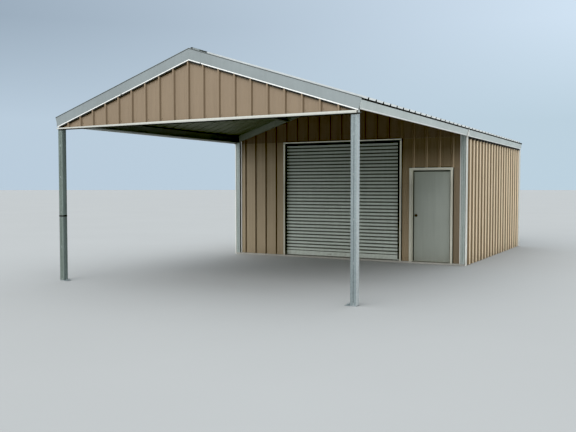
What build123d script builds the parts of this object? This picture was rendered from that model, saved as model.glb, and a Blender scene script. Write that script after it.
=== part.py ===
from build123d import *
import os

# Steel carport with an enclosed shed bay behind it, under one gable roof.
# Millimetres. X to the right, Y from front to back, Z up.
# Origin: middle of the building's footprint, on the ground.

# ---------------------------------------------------------------- sizes
LENGTH = 12234.0                 # over the front and rear rake trims, 40 ft
Y0 = -LENGTH / 2                 # outer face of the front rake trims

PITCH = 0.3225                   # roof slope, a little under 4 in 12
ROOF_APEX = 4048.0               # where the two pan surfaces would meet
ROOF_HALF = 3088.0               # eave end of the roof sheets
COS = 1 / (1 + PITCH ** 2) ** 0.5
SIN = PITCH * COS

T = 2.0                          # sheet
RIB_PITCH = 304.8                # 12 in
RIB_H = 32.0                     # 1 1/4 in
RIB_BASE = 32.0                  # half widths of a rib
RIB_TOP = 13.0
RIB_Y = Y0 + 6345.0              # one rib of the roof
WALL_RIB_Y = Y0 + 6168.0         # first rib of the shed's side walls
FACE_RIB_X = -30.0               # one rib of the front gable and of the shed's front

FRAME_FRONT = Y0 + 42.0          # front face of the front frame
SHED_FRONT = Y0 + 6087.0         # front face of the shed's front frame, 20 ft behind
REAR = Y0 + LENGTH - 42.0        # rear face of the rear frame
HALF_FRAME = 3017.0              # outer face of the shed's posts
POST = 101.6                     # 4 in
POST_X_LEFT = -3013.0            # middles of the two front posts
POST_X_RIGHT = 2948.0
BASE_T = 8.0

C_DEPTH = 152.0                  # 6 in C sections of the roof
C_FLANGE = 64.0
C_LIP = 20.0
C_T = 3.0

HEADER_Z = 2844.0                # underside of the front header
EAVE_BEAM_Z = 2918.0             # underside of the eave beams

SLAB_T = 40.0
SHEET_BOTTOM = 5.0
WALL_Y = SHED_FRONT + 60.0       # inner face of the shed's front sheets

ROLL_X0, ROLL_X1 = -1575.0, 1473.0   # roll-up opening, 10 ft
ROLL_TOP = 2840.0
TRIM_W = 43.0

DOOR_X0, DOOR_X1 = 1764.0, 2677.0    # walk door opening between the jambs
DOOR_FACE = 51.0
DOOR_TOP = 2151.0                    # underside of the frame's head
FRAME_Y0 = SHED_FRONT + 14.0
FRAME_DEPTH = 146.0
LEAF_T = 44.0
LEAF_Y0 = FRAME_Y0 + 100.0           # outer face of the leaf
LEAF_X0, LEAF_X1 = DOOR_X0 + 7.0, DOOR_X1 - 5.0
LEAF_Z0, LEAF_Z1 = SLAB_T + 8.0, DOOR_TOP - 6.0
HINGE_X = DOOR_X1 - 2.5
HINGE_Y = LEAF_Y0 + LEAF_T + 9.0
HINGE_R = 6.5
HINGE_Z = (240.0, 1100.0, 1960.0)
HINGE_L = 114.0

os.makedirs("parts", exist_ok=True)


# ---------------------------------------------------------------- profiles
def roof_z(x, drop=0.0):
    """Height of the pan surface at x, less a drop square to the roof."""
    return ROOF_APEX - abs(x) * PITCH - drop / COS


def rib_centres(start, end, through, pitch=RIB_PITCH):
    """Places of the ribs that fit whole between start and end."""
    first = through - int((through - start) / pitch) * pitch
    out = []
    c = first
    while c + RIB_BASE < end - 2:
        if c - RIB_BASE > start + 2:
            out.append(c)
        c += pitch
    return out


def sheet_outline(start, end, centres):
    """Closed outline of a ribbed sheet: (along, out) pairs."""
    outer = [(start, T)]
    inner = [(start, 0.0)]
    for c in centres:
        outer += [(c - RIB_BASE, T), (c - RIB_TOP, T + RIB_H), (c + RIB_TOP, T + RIB_H), (c + RIB_BASE, T)]
        inner += [(c - RIB_BASE + 1, 0.0), (c - RIB_TOP + 1, RIB_H), (c + RIB_TOP - 1, RIB_H), (c + RIB_BASE - 1, 0.0)]
    outer.append((end, T))
    inner.append((end, 0.0))
    return outer + inner[::-1]


def c_outline(depth, flange, lip, t):
    """Closed outline of a lipped C: (from the web, along the web) pairs."""
    return [(0, 0), (flange, 0), (flange, lip), (flange - t, lip), (flange - t, t), (t, t),
            (t, depth - t), (flange - t, depth - t), (flange - t, depth - lip), (flange, depth - lip),
            (flange, depth), (0, depth)]


def face(points):
    with BuildLine() as outline:
        Polyline(*points, close=True)
    make_face(outline.edges())


def box(x0, x1, y0, y1, z0, z1):
    with BuildSketch(Plane.XY.offset(z0)) as base:
        with Locations(((x0 + x1) / 2, (y0 + y1) / 2)):
            Rectangle(x1 - x0, y1 - y0)
    extrude(base.sketch, amount=z1 - z0)


def stud(x0, x1, y0, y1, z0, z1):
    """Upright lipped C between two walls' faces, web on the low x side."""
    with BuildSketch(Plane.XY.offset(z0)) as section:
        face([(x0 + u, y0 + v) for u, v in c_outline(y1 - y0, x1 - x0, 12, 2.5)])
    extrude(section.sketch, amount=z1 - z0)


def slope_plane(side, along_y, drop):
    """Across the slope of one roof side: local x runs to the rear, local y square to the roof, outwards.
    The plane stands at the apex and its normal runs down the slope."""
    return Plane(origin=(0, along_y, ROOF_APEX - drop / COS), x_dir=(0, 1, 0), z_dir=(side * COS, 0, -SIN)) \
        if side > 0 else \
        Plane(origin=(0, along_y, ROOF_APEX - drop / COS), x_dir=(0, -1, 0), z_dir=(side * COS, 0, -SIN))


def cut_under_roof(drop):
    """Keep what lies under both roof planes, dropped square to the roof."""
    split(bisect_by=Plane(origin=(0, 0, ROOF_APEX - drop / COS), z_dir=(SIN, 0, COS)), keep=Keep.BOTTOM)
    split(bisect_by=Plane(origin=(0, 0, ROOF_APEX - drop / COS), z_dir=(-SIN, 0, COS)), keep=Keep.BOTTOM)


def finish(part, name):
    part.part.label = name
    export_step(part.part, "parts/" + name + ".step")


# ---------------------------------------------------------------- front posts
def boxed_post(x, y, z0, z1):
    """Two lipped C sections toe to toe: the seam runs up the middle of the front and back faces."""
    half = POST / 2
    for side in (-1, 1):
        pts = [(x + side * (half - u * (half - 0.4) / 50.8), y + v) for u, v in c_outline(POST, 50.8, 18, 2.6)]
        with BuildSketch(Plane.XY.offset(z0)) as section:
            face(pts)
        extrude(section.sketch, amount=z1 - z0)


with BuildPart() as front_post_left:
    boxed_post(POST_X_LEFT, FRAME_FRONT, BASE_T, HEADER_Z)
finish(front_post_left, "front_post_left")

with BuildPart() as front_post_right:
    boxed_post(POST_X_RIGHT, FRAME_FRONT, BASE_T, HEADER_Z)
finish(front_post_right, "front_post_right")

# base plates: flush with the posts outside, 90 mm proud of them on the bay side, with two anchor bolts each
with BuildPart() as front_post_bases:
    for px, inner in ((POST_X_LEFT, 1), (POST_X_RIGHT, -1)):
        x_out = px - inner * POST / 2
        x_in = px + inner * (POST / 2 + 90)
        box(min(x_out, x_in), max(x_out, x_in), FRAME_FRONT, FRAME_FRONT + POST, 0, BASE_T)
        with BuildSketch(Plane.XY.offset(BASE_T)):
            with Locations((px + inner * (POST / 2 + 48), FRAME_FRONT + 22), (px + inner * (POST / 2 + 48), FRAME_FRONT + 80)):
                Circle(16)
        extrude(amount=3)
        with BuildSketch(Plane.XY.offset(BASE_T + 3)):
            with Locations((px + inner * (POST / 2 + 48), FRAME_FRONT + 22), (px + inner * (POST / 2 + 48), FRAME_FRONT + 80)):
                RegularPolygon(11, 6)
        extrude(amount=11)
        with BuildSketch(Plane.XY.offset(BASE_T + 14)):
            with Locations((px + inner * (POST / 2 + 48), FRAME_FRONT + 22), (px + inner * (POST / 2 + 48), FRAME_FRONT + 80)):
                Circle(6.3)
        extrude(amount=16)
finish(front_post_bases, "front_post_bases")

# dark band round the left post
with BuildPart() as post_strap:
    with BuildSketch(Plane.XY.offset(1205)):
        with Locations((POST_X_LEFT, FRAME_FRONT + POST / 2)):
            Rectangle(POST + 5, POST + 5)
            Rectangle(POST + 0.6, POST + 0.6, mode=Mode.SUBTRACT)
    extrude(amount=28)
finish(post_strap, "post_strap")

# ---------------------------------------------------------------- front frame
HEADER_HALF = 3040.0
with BuildPart() as front_header:
    with BuildSketch(Plane(origin=(-HEADER_HALF, 0, 0), x_dir=(0, 1, 0), z_dir=(1, 0, 0))):
        face([(FRAME_FRONT + u, HEADER_Z + v) for u, v in c_outline(C_DEPTH, C_FLANGE, C_LIP, C_T)])
    extrude(amount=2 * HEADER_HALF)
finish(front_header, "front_header")


def rafter(side, y_web, opens, length):
    """One sloping C section under the roof sheet, web at y_web."""
    pts = [((y_web + opens * u) * (1 if side > 0 else -1), v - C_DEPTH) for u, v in c_outline(C_DEPTH, C_FLANGE, C_LIP, C_T)]
    with BuildSketch(slope_plane(side, 0, T + 0.5)) as section:
        face(pts)
    extrude(section.sketch, amount=length)


with BuildPart() as front_rafters:
    rafter(1, FRAME_FRONT, 1, 3160)
    split(bisect_by=Plane(origin=(1, 0, 0), z_dir=(1, 0, 0)), keep=Keep.TOP)
    split(bisect_by=Plane(origin=(0, 0, HEADER_Z + C_DEPTH), z_dir=(0, 0, 1)), keep=Keep.TOP)
    split(bisect_by=Plane(origin=(HALF_FRAME - C_FLANGE - 2, 0, 0), z_dir=(1, 0, 0)), keep=Keep.BOTTOM)
    mirror(about=Plane.YZ)
finish(front_rafters, "front_rafters")

with BuildPart() as shed_front_rafters:
    rafter(1, SHED_FRONT, 1, 3200)
    split(bisect_by=Plane(origin=(1, 0, 0), z_dir=(1, 0, 0)), keep=Keep.TOP)
    split(bisect_by=Plane(origin=(HALF_FRAME - C_FLANGE - 2, 0, 0), z_dir=(1, 0, 0)), keep=Keep.BOTTOM)
    mirror(about=Plane.YZ)
finish(shed_front_rafters, "shed_front_rafters")

with BuildPart() as shed_rear_rafters:
    rafter(1, REAR, -1, 3200)
    split(bisect_by=Plane(origin=(1, 0, 0), z_dir=(1, 0, 0)), keep=Keep.TOP)
    split(bisect_by=Plane(origin=(HALF_FRAME - C_FLANGE - 2, 0, 0), z_dir=(1, 0, 0)), keep=Keep.BOTTOM)
    mirror(about=Plane.YZ)
finish(shed_rear_rafters, "shed_rear_rafters")

# ---------------------------------------------------------------- eave beams and purlins
BAY_Y0 = FRAME_FRONT + C_FLANGE + 2
SHED_Y1 = REAR - C_FLANGE - 2

with BuildPart() as eave_beam_right:
    with BuildSketch(Plane(origin=(0, BAY_Y0, 0), x_dir=(1, 0, 0), z_dir=(0, -1, 0))):
        face([(HALF_FRAME - u, EAVE_BEAM_Z + v) for u, v in c_outline(C_DEPTH, C_FLANGE, C_LIP, C_T)])
    extrude(amount=-(SHED_Y1 - BAY_Y0))
    cut_under_roof(T + 0.5)
finish(eave_beam_right, "eave_beam_right")

with BuildPart() as eave_beam_left:
    with BuildSketch(Plane(origin=(0, BAY_Y0, 0), x_dir=(1, 0, 0), z_dir=(0, -1, 0))):
        face([(-HALF_FRAME + u, EAVE_BEAM_Z + v) for u, v in c_outline(C_DEPTH, C_FLANGE, C_LIP, C_T)])
    extrude(amount=-(SHED_Y1 - BAY_Y0))
    cut_under_roof(T + 0.5)
finish(eave_beam_left, "eave_beam_left")

PURLIN_X = 1524.0
BAY_Y1 = SHED_FRONT - 2
SHED_Y0 = SHED_FRONT + C_FLANGE + 2


def purlin(x, y0, y1):
    """C section square to the roof, web on the eave side, lips towards the ridge."""
    side = 1 if x > 0 else -1
    top_x, top_z = x, roof_z(x, T + 0.5)
    pts = []
    for u, v in c_outline(C_DEPTH, C_FLANGE, C_LIP, C_T):
        d = v - C_DEPTH                       # square to the roof, 0 at the top
        s = C_FLANGE / 2 - u                  # down the slope
        pts.append((top_x + side * (s * COS + d * SIN), top_z - s * SIN + d * COS))
    with BuildSketch(Plane(origin=(0, y0, 0), x_dir=(1, 0, 0), z_dir=(0, -1, 0))) as section:
        face(pts)
    extrude(section.sketch, amount=-(y1 - y0))


with BuildPart() as roof_purlins:
    for y_a, y_b in ((BAY_Y0, BAY_Y1), (SHED_Y0, SHED_Y1)):
        purlin(PURLIN_X, y_a, y_b)
        purlin(-PURLIN_X, y_a, y_b)
        with BuildSketch(Plane(origin=(0, y_a, 0), x_dir=(1, 0, 0), z_dir=(0, -1, 0))):
            face([(u - C_FLANGE / 2, roof_z(C_FLANGE / 2, T + 0.5) - C_DEPTH + v)
                  for u, v in c_outline(C_DEPTH, C_FLANGE, C_LIP, C_T)])
        extrude(amount=-(y_b - y_a))
finish(roof_purlins, "roof_purlins")

# ---------------------------------------------------------------- roof sheets and trims
ROOF_Y0, ROOF_Y1 = Y0 + 8, Y0 + LENGTH - 8
ROOF_RIBS = [c for c in rib_centres(ROOF_Y0, ROOF_Y1, RIB_Y) if c > Y0 + 120 and c < Y0 + LENGTH - 120]
RIDGE_GAP = 16.0
ROOF_RUN = ROOF_HALF / COS

with BuildPart() as roof_panel_right:
    with BuildSketch(slope_plane(1, 0, T).offset(RIDGE_GAP)):
        face(sheet_outline(ROOF_Y0, ROOF_Y1, ROOF_RIBS))
    extrude(amount=ROOF_RUN - RIDGE_GAP)
finish(roof_panel_right, "roof_panel_right")

with BuildPart() as roof_panel_left:
    with BuildSketch(slope_plane(-1, 0, T).offset(RIDGE_GAP)):
        face([(-a, b) for a, b in sheet_outline(ROOF_Y0, ROOF_Y1, ROOF_RIBS)])
    extrude(amount=ROOF_RUN - RIDGE_GAP)
finish(roof_panel_left, "roof_panel_left")

# ridge cap on the rib crests, short of the rake trims
CAP_Z = ROOF_APEX + (RIB_H + 0.5) / COS
CAP_HALF = 205.0
CAP_INSET = 85.0
with BuildPart() as ridge_cap:
    with BuildSketch(Plane(origin=(0, Y0 + CAP_INSET, 0), x_dir=(1, 0, 0), z_dir=(0, -1, 0))):
        face([(-CAP_HALF, CAP_Z - CAP_HALF * PITCH), (0, CAP_Z), (CAP_HALF, CAP_Z - CAP_HALF * PITCH),
              (CAP_HALF, CAP_Z - CAP_HALF * PITCH + 2.2), (0, CAP_Z + 2.2), (-CAP_HALF, CAP_Z - CAP_HALF * PITCH + 2.2)])
    extrude(amount=-(LENGTH - 2 * CAP_INSET))
finish(ridge_cap, "ridge_cap")

# rake trims: (to the rear from the outer face, square to the roof) outline
RAKE_TOP = 9.5
RAKE_BOTTOM = -187.5
RAKE = [(4, RAKE_TOP), (100, RAKE_TOP), (100, RAKE_TOP - 2), (6, RAKE_TOP - 2), (6, RAKE_BOTTOM + 9),
        (6, RAKE_BOTTOM), (0, RAKE_BOTTOM), (0, RAKE_BOTTOM + 10), (4, RAKE_BOTTOM + 14)]


def rake(side, front):
    pts = []
    for a, b in RAKE:
        y = Y0 + a if front else Y0 + LENGTH - a
        pts.append((y * (1 if side > 0 else -1), b))
    with BuildSketch(slope_plane(side, 0, 0).offset(-80)) as section:
        face(pts)
    extrude(section.sketch, amount=ROOF_HALF / COS + 81)
    split(bisect_by=Plane(origin=(side * 0.5, 0, 0), z_dir=(side, 0, 0)), keep=Keep.TOP)


with BuildPart() as front_rake_right:
    rake(1, True)
finish(front_rake_right, "front_rake_right")

with BuildPart() as front_rake_left:
    rake(-1, True)
finish(front_rake_left, "front_rake_left")

with BuildPart() as rear_rakes:
    rake(1, False)
    mirror(about=Plane.YZ)
finish(rear_rakes, "rear_rakes")

# eave trims: face leans out to the top, lip kicked out at the foot; the shed's length stands a little further out
EAVE_FOOT_Z = 2881.0
EAVE_LAP = Y0 + 6082.0
EAVE_LENGTHS = ((Y0 + 7, EAVE_LAP - 0.5, 3050.0, 2889.0, 3078.0, 3034.0),
                (EAVE_LAP + 0.5, Y0 + LENGTH - 7, 3060.0, EAVE_FOOT_Z, 3082.0, 3032.0))


def eave_outline(side, foot_x, foot_z, top_x, top_z):
    pts = [(top_x, top_z), (foot_x + 4, foot_z + 22), (foot_x + 9, foot_z + 14), (foot_x + 9, foot_z), (foot_x, foot_z),
           (foot_x, foot_z + 18), (top_x - 3.5, top_z - 2), (top_x - 24, top_z + 6), (top_x - 24, top_z + 8)]
    return [(side * x, z) for x, z in pts]


with BuildPart() as eave_trims_right:
    for y_a, y_b, foot_x, foot_z, top_x, top_z in EAVE_LENGTHS:
        with BuildSketch(Plane(origin=(0, y_a, 0), x_dir=(1, 0, 0), z_dir=(0, -1, 0))):
            face(eave_outline(1, foot_x, foot_z, top_x, top_z))
        extrude(amount=-(y_b - y_a))
finish(eave_trims_right, "eave_trims_right")

with BuildPart() as eave_trims_left:
    for y_a, y_b, foot_x, foot_z, top_x, top_z in EAVE_LENGTHS:
        with BuildSketch(Plane(origin=(0, y_a, 0), x_dir=(1, 0, 0), z_dir=(0, -1, 0))):
            face(eave_outline(-1, foot_x, foot_z, top_x, top_z))
        extrude(amount=-(y_b - y_a))
finish(eave_trims_left, "eave_trims_left")

# ---------------------------------------------------------------- front gable
GABLE_HALF = 3046.0
with BuildPart() as front_gable_panel:
    with BuildSketch(Plane.XY.offset(HEADER_Z - 3)):
        face([(a, FRAME_FRONT - b) for a, b in sheet_outline(-GABLE_HALF, GABLE_HALF, rib_centres(-GABLE_HALF, GABLE_HALF, FACE_RIB_X))])
    extrude(amount=1300)
    cut_under_roof(T + 1)
finish(front_gable_panel, "front_gable_panel")

with BuildPart() as gable_base_trim:
    with BuildSketch(Plane(origin=(-3060, 0, 0), x_dir=(0, 1, 0), z_dir=(1, 0, 0))):
        face([(Y0 + 1, HEADER_Z - 7), (FRAME_FRONT - 1, HEADER_Z - 7), (FRAME_FRONT - 1, HEADER_Z - 5), (Y0 + 7, HEADER_Z - 5),
              (Y0 + 7, HEADER_Z + 38), (Y0 + 5, HEADER_Z + 38), (Y0 + 5, HEADER_Z + 6), (Y0 + 1, HEADER_Z + 2)])
    extrude(amount=6066)
    cut_under_roof(-RAKE_BOTTOM + 1)
finish(gable_base_trim, "gable_base_trim")

# ---------------------------------------------------------------- shed posts and framing
with BuildPart() as shed_corner_posts:
    for side in (-1, 1):
        for y in (SHED_FRONT, REAR - POST):
            boxed_post(side * (HALF_FRAME - POST / 2), y, SLAB_T, EAVE_BEAM_Z)
finish(shed_corner_posts, "shed_corner_posts")

GIRT_Z = (920.0, 1840.0)
GIRT_D = 60.0
MID_POST_Y = (SHED_FRONT + REAR) / 2
GIRT_Y = ((SHED_FRONT + POST + 1, MID_POST_Y - POST / 2 - 1), (MID_POST_Y + POST / 2 + 1, REAR - POST - 1))


def side_framing(side):
    """Middle post, base rails and two rows of C girts behind one side sheet."""
    xo = side * (HALF_FRAME - 0.5)
    xi = side * (HALF_FRAME - POST)
    stud(min(xo, xi), max(xo, xi), MID_POST_Y - POST / 2, MID_POST_Y + POST / 2, SLAB_T, EAVE_BEAM_Z)
    for y_a, y_b in GIRT_Y:
        box(min(xo, side * (HALF_FRAME - 50)), max(xo, side * (HALF_FRAME - 50)), y_a, y_b, SLAB_T, SLAB_T + 40)
        for z in GIRT_Z:
            with BuildSketch(Plane(origin=(0, y_a, 0), x_dir=(1, 0, 0), z_dir=(0, -1, 0))) as section:
                face([(xo - side * v, z + u) for u, v in c_outline(POST - 2, 50, 16, 3)])
            extrude(section.sketch, amount=-(y_b - y_a))


with BuildPart() as left_wall_framing:
    side_framing(-1)
finish(left_wall_framing, "left_wall_framing")

with BuildPart() as right_wall_framing:
    side_framing(1)
finish(right_wall_framing, "right_wall_framing")

REAR_POSTS_X = (-1016.0, 1016.0)
with BuildPart() as rear_wall_framing:
    for x in REAR_POSTS_X:
        stud(x - 32, x + 32, REAR - POST, REAR - 0.5, SLAB_T, 3540)
    for xa, xb in ((-HALF_FRAME + POST + 1, REAR_POSTS_X[0] - 33), (REAR_POSTS_X[0] + 33, REAR_POSTS_X[1] - 33),
                   (REAR_POSTS_X[1] + 33, HALF_FRAME - POST - 1)):
        box(xa, xb, REAR - 50, REAR - 0.5, SLAB_T, SLAB_T + 40)
        for z in GIRT_Z + (2760.0,):
            with BuildSketch(Plane(origin=(xa, 0, 0), x_dir=(0, 1, 0), z_dir=(1, 0, 0))):
                face([(REAR - 0.5 - v, z + u) for u, v in c_outline(POST - 2, 50, 16, 3)])
            extrude(amount=xb - xa)
finish(rear_wall_framing, "rear_wall_framing")

# front wall of the shed: studs beside the two doorways, rails over them
STUD_Y0, STUD_Y1 = WALL_Y + 0.5, SHED_FRONT + POST
with BuildPart() as front_wall_framing:
    xl = ROLL_X0 - TRIM_W
    xr = ROLL_X1 + TRIM_W
    fl = DOOR_X0 - DOOR_FACE
    fr = DOOR_X1 + DOOR_FACE
    stud(xl, ROLL_X0 - 4, STUD_Y0, STUD_Y1, SLAB_T, 2900)
    stud(ROLL_X1 + 4, xr, STUD_Y0, STUD_Y1, SLAB_T, 2900)
    stud(xr + 6, fl - 6, STUD_Y0, STUD_Y1, SLAB_T, 2900)
    stud(fr + 6, fr + 57, STUD_Y0, STUD_Y1, SLAB_T, 2900)
    box(ROLL_X0 - 3, ROLL_X1 + 3, STUD_Y0, STUD_Y1, ROLL_TOP + 4, 2900)
    box(fl - 5, fr + 5, STUD_Y0, STUD_Y1, DOOR_TOP + DOOR_FACE + 1, DOOR_TOP + DOOR_FACE + 52)
    box(-HALF_FRAME + POST + 1, HALF_FRAME - POST - 1, STUD_Y0, STUD_Y1, 2901, 2950)
    for z in GIRT_Z:
        box(-HALF_FRAME + POST + 1, xl - 1, STUD_Y0, STUD_Y1, z, z + 50)
    cut_under_roof(C_DEPTH + T + 2)
finish(front_wall_framing, "front_wall_framing")

# ---------------------------------------------------------------- shed sheets
WALL_TOP = roof_z(HALF_FRAME + RIB_H + T, T) - 2
SIDE_RIBS = rib_centres(SHED_FRONT + 2, REAR - 2, WALL_RIB_Y)
with BuildPart() as right_wall:
    with BuildSketch(Plane.XY.offset(SHEET_BOTTOM)):
        face([(HALF_FRAME + b, a) for a, b in sheet_outline(SHED_FRONT + 2, REAR - 2, SIDE_RIBS)])
    extrude(amount=WALL_TOP - SHEET_BOTTOM)
finish(right_wall, "right_wall")

with BuildPart() as left_wall:
    with BuildSketch(Plane.XY.offset(SHEET_BOTTOM)):
        face([(-HALF_FRAME - b, a) for a, b in sheet_outline(SHED_FRONT + 2, REAR - 2, SIDE_RIBS)])
    extrude(amount=WALL_TOP - SHEET_BOTTOM)
finish(left_wall, "left_wall")

with BuildPart() as rear_wall:
    with BuildSketch(Plane.XY.offset(SHEET_BOTTOM)):
        face([(a, REAR + b) for a, b in sheet_outline(-HALF_FRAME + 2, HALF_FRAME - 2, rib_centres(-HALF_FRAME, HALF_FRAME, 0))])
    extrude(amount=4200)
    cut_under_roof(T + 1)
finish(rear_wall, "rear_wall")

INNER = HALF_FRAME - POST - 2
WALL_Z0 = SLAB_T + 2


def front_sheet(x0, x1, z0, z1):
    ribs = [c for c in rib_centres(-3048, 3048, FACE_RIB_X) if x0 + RIB_BASE + 3 < c < x1 - RIB_BASE - 3]
    with BuildSketch(Plane.XY.offset(z0)) as section:
        face([(a, WALL_Y - b) for a, b in sheet_outline(x0, x1, ribs)])
    extrude(section.sketch, amount=z1 - z0)


GABLE_Z0 = ROLL_TOP + TRIM_W + 1
with BuildPart() as shed_front_wall_left:
    front_sheet(-INNER, ROLL_X0 - TRIM_W - 1, WALL_Z0, GABLE_Z0 - 1)
    cut_under_roof(C_DEPTH + T + 2)
finish(shed_front_wall_left, "shed_front_wall_left")

with BuildPart() as shed_front_wall_middle:
    front_sheet(ROLL_X1 + TRIM_W + 1, DOOR_X0 - DOOR_FACE - 1, WALL_Z0, DOOR_TOP + DOOR_FACE)
finish(shed_front_wall_middle, "shed_front_wall_middle")

with BuildPart() as shed_front_wall_right:
    front_sheet(DOOR_X1 + DOOR_FACE + 1, INNER, WALL_Z0, DOOR_TOP + DOOR_FACE)
finish(shed_front_wall_right, "shed_front_wall_right")

with BuildPart() as shed_front_wall_over_door:
    front_sheet(ROLL_X1 + TRIM_W + 1, INNER, DOOR_TOP + DOOR_FACE + 1, GABLE_Z0 - 1)
    cut_under_roof(C_DEPTH + T + 2)
finish(shed_front_wall_over_door, "shed_front_wall_over_door")

with BuildPart() as shed_front_gable:
    front_sheet(-INNER, INNER, GABLE_Z0, 4200)
    cut_under_roof(C_DEPTH + T + 2)
finish(shed_front_gable, "shed_front_gable")

# ---------------------------------------------------------------- corner trims
CORNER_X = HALF_FRAME + RIB_H + T + 1
with BuildPart() as corner_trims:
    for side in (-1, 1):
        with BuildSketch(Plane.XY.offset(SHEET_BOTTOM)):
            face([(side * (HALF_FRAME + 0.5), SHED_FRONT - 2), (side * (CORNER_X + 2), SHED_FRONT - 2), (side * (CORNER_X + 2), SHED_FRONT + 50),
                  (side * CORNER_X, SHED_FRONT + 50), (side * CORNER_X, SHED_FRONT), (side * (HALF_FRAME + 0.5), SHED_FRONT)])
        extrude(amount=EAVE_FOOT_Z - 1 - SHEET_BOTTOM)
    for side in (-1, 1):
        yb = REAR + RIB_H + T + 1
        with BuildSketch(Plane.XY.offset(SHEET_BOTTOM)):
            face([(side * (HALF_FRAME - 40), yb), (side * CORNER_X, yb), (side * CORNER_X, REAR - 50), (side * (CORNER_X + 2), REAR - 50),
                  (side * (CORNER_X + 2), yb + 2), (side * (HALF_FRAME - 40), yb + 2)])
        extrude(amount=EAVE_FOOT_Z - 1 - SHEET_BOTTOM)
        cut_under_roof(-RAKE_BOTTOM + 1)
finish(corner_trims, "corner_trims")

# ---------------------------------------------------------------- roll-up door
TRIM_Y0 = WALL_Y - RIB_H - T - 3
TRIM_Y1 = STUD_Y1 + 4
with BuildPart() as rollup_trim:
    for side, xe in ((-1, ROLL_X0), (1, ROLL_X1)):
        with BuildSketch(Plane.XY.offset(SLAB_T)):
            face([(xe + side * TRIM_W, TRIM_Y0), (xe, TRIM_Y0), (xe, TRIM_Y1), (xe + side * 2, TRIM_Y1),
                  (xe + side * 2, TRIM_Y0 + 2), (xe + side * TRIM_W, TRIM_Y0 + 2)])
        extrude(amount=ROLL_TOP - SLAB_T - 0.5)
    with BuildSketch(Plane(origin=(ROLL_X0 - TRIM_W, 0, 0), x_dir=(0, 1, 0), z_dir=(1, 0, 0))):
        face([(TRIM_Y0, ROLL_TOP + TRIM_W), (TRIM_Y0, ROLL_TOP), (TRIM_Y0 + 2, ROLL_TOP), (TRIM_Y0 + 2, ROLL_TOP + TRIM_W)])
    extrude(amount=ROLL_X1 - ROLL_X0 + 2 * TRIM_W)
    box(ROLL_X0, ROLL_X1, TRIM_Y0 + 2, TRIM_Y1, ROLL_TOP, ROLL_TOP + 2)
finish(rollup_trim, "rollup_trim")

CURTAIN_Y = STUD_Y1 + 32
CORR = 83.0
with BuildPart() as rollup_curtain:
    front_pts, back_pts = [], []
    z = SLAB_T + 6
    k = 0
    while z < 3030:
        d = -7 if k % 2 == 0 else 7
        front_pts += [(CURTAIN_Y + d - 1, z + 6), (CURTAIN_Y + d - 1, z + CORR / 2 - 8)]
        back_pts += [(CURTAIN_Y + d + 1, z + 6), (CURTAIN_Y + d + 1, z + CORR / 2 - 8)]
        z += CORR / 2
        k += 1
    with BuildSketch(Plane(origin=(ROLL_X0 - 40, 0, 0), x_dir=(0, 1, 0), z_dir=(1, 0, 0))):
        face(front_pts + back_pts[::-1])
    extrude(amount=ROLL_X1 - ROLL_X0 + 80)
finish(rollup_curtain, "rollup_curtain")

with BuildPart() as rollup_guides:
    for side, xe in ((-1, ROLL_X0), (1, ROLL_X1)):
        with BuildSketch(Plane.XY.offset(SLAB_T)):
            face([(xe + side * 18, STUD_Y1 + 10), (xe + side * 52, STUD_Y1 + 10), (xe + side * 52, STUD_Y1 + 54), (xe + side * 18, STUD_Y1 + 54),
                  (xe + side * 18, STUD_Y1 + 51), (xe + side * 49, STUD_Y1 + 51), (xe + side * 49, STUD_Y1 + 13), (xe + side * 18, STUD_Y1 + 13)])
        extrude(amount=2810)
finish(rollup_guides, "rollup_guides")

COIL_R = 165.0
COIL_Y = CURTAIN_Y + 12 + COIL_R
COIL_Z = 3040.0
with BuildPart() as rollup_coil:
    with BuildSketch(Plane(origin=(ROLL_X0 - 40, 0, 0), x_dir=(0, 1, 0), z_dir=(1, 0, 0))):
        with Locations((COIL_Y, COIL_Z)):
            Circle(COIL_R)
    extrude(amount=ROLL_X1 - ROLL_X0 + 80)
    for x_a in (ROLL_X0 - 60, ROLL_X1 + 54):
        box(x_a, x_a + 6, STUD_Y1 + 1, COIL_Y + 60, COIL_Z - 120, COIL_Z + 120)
finish(rollup_coil, "rollup_coil")

# ---------------------------------------------------------------- walk door
STOP = 16.0
FY1 = FRAME_Y0 + FRAME_DEPTH
with BuildPart() as walk_door_frame:
    for side, xe in ((-1, DOOR_X0), (1, DOOR_X1)):
        with BuildSketch(Plane.XY.offset(SLAB_T)):
            face([(xe + side * DOOR_FACE, FRAME_Y0), (xe, FRAME_Y0), (xe, FRAME_Y0 + 49), (xe - side * STOP, FRAME_Y0 + 49),
                  (xe - side * STOP, LEAF_Y0 - 5), (xe, LEAF_Y0 - 5), (xe, FY1), (xe + side * DOOR_FACE, FY1),
                  (xe + side * DOOR_FACE, STUD_Y1 + 2), (xe + side * (DOOR_FACE - 8), STUD_Y1 + 2),
                  (xe + side * (DOOR_FACE - 8), WALL_Y - 40), (xe + side * DOOR_FACE, WALL_Y - 40)])
        extrude(amount=DOOR_TOP - SLAB_T - 0.5)
    with BuildSketch(Plane(origin=(DOOR_X0 - DOOR_FACE, 0, 0), x_dir=(0, 1, 0), z_dir=(1, 0, 0))):
        face([(FRAME_Y0, DOOR_TOP + DOOR_FACE), (FRAME_Y0, DOOR_TOP), (FY1, DOOR_TOP), (FY1, DOOR_TOP + DOOR_FACE)])
    extrude(amount=DOOR_X1 - DOOR_X0 + 2 * DOOR_FACE)
finish(walk_door_frame, "walk_door_frame")

with BuildPart() as walk_door_leaf:
    box(LEAF_X0, LEAF_X1, LEAF_Y0, LEAF_Y0 + LEAF_T, LEAF_Z0, LEAF_Z1)
finish(walk_door_leaf, "walk_door_leaf")

KNOB_X, KNOB_Z = LEAF_X0 + 80, 1104.0


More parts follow.
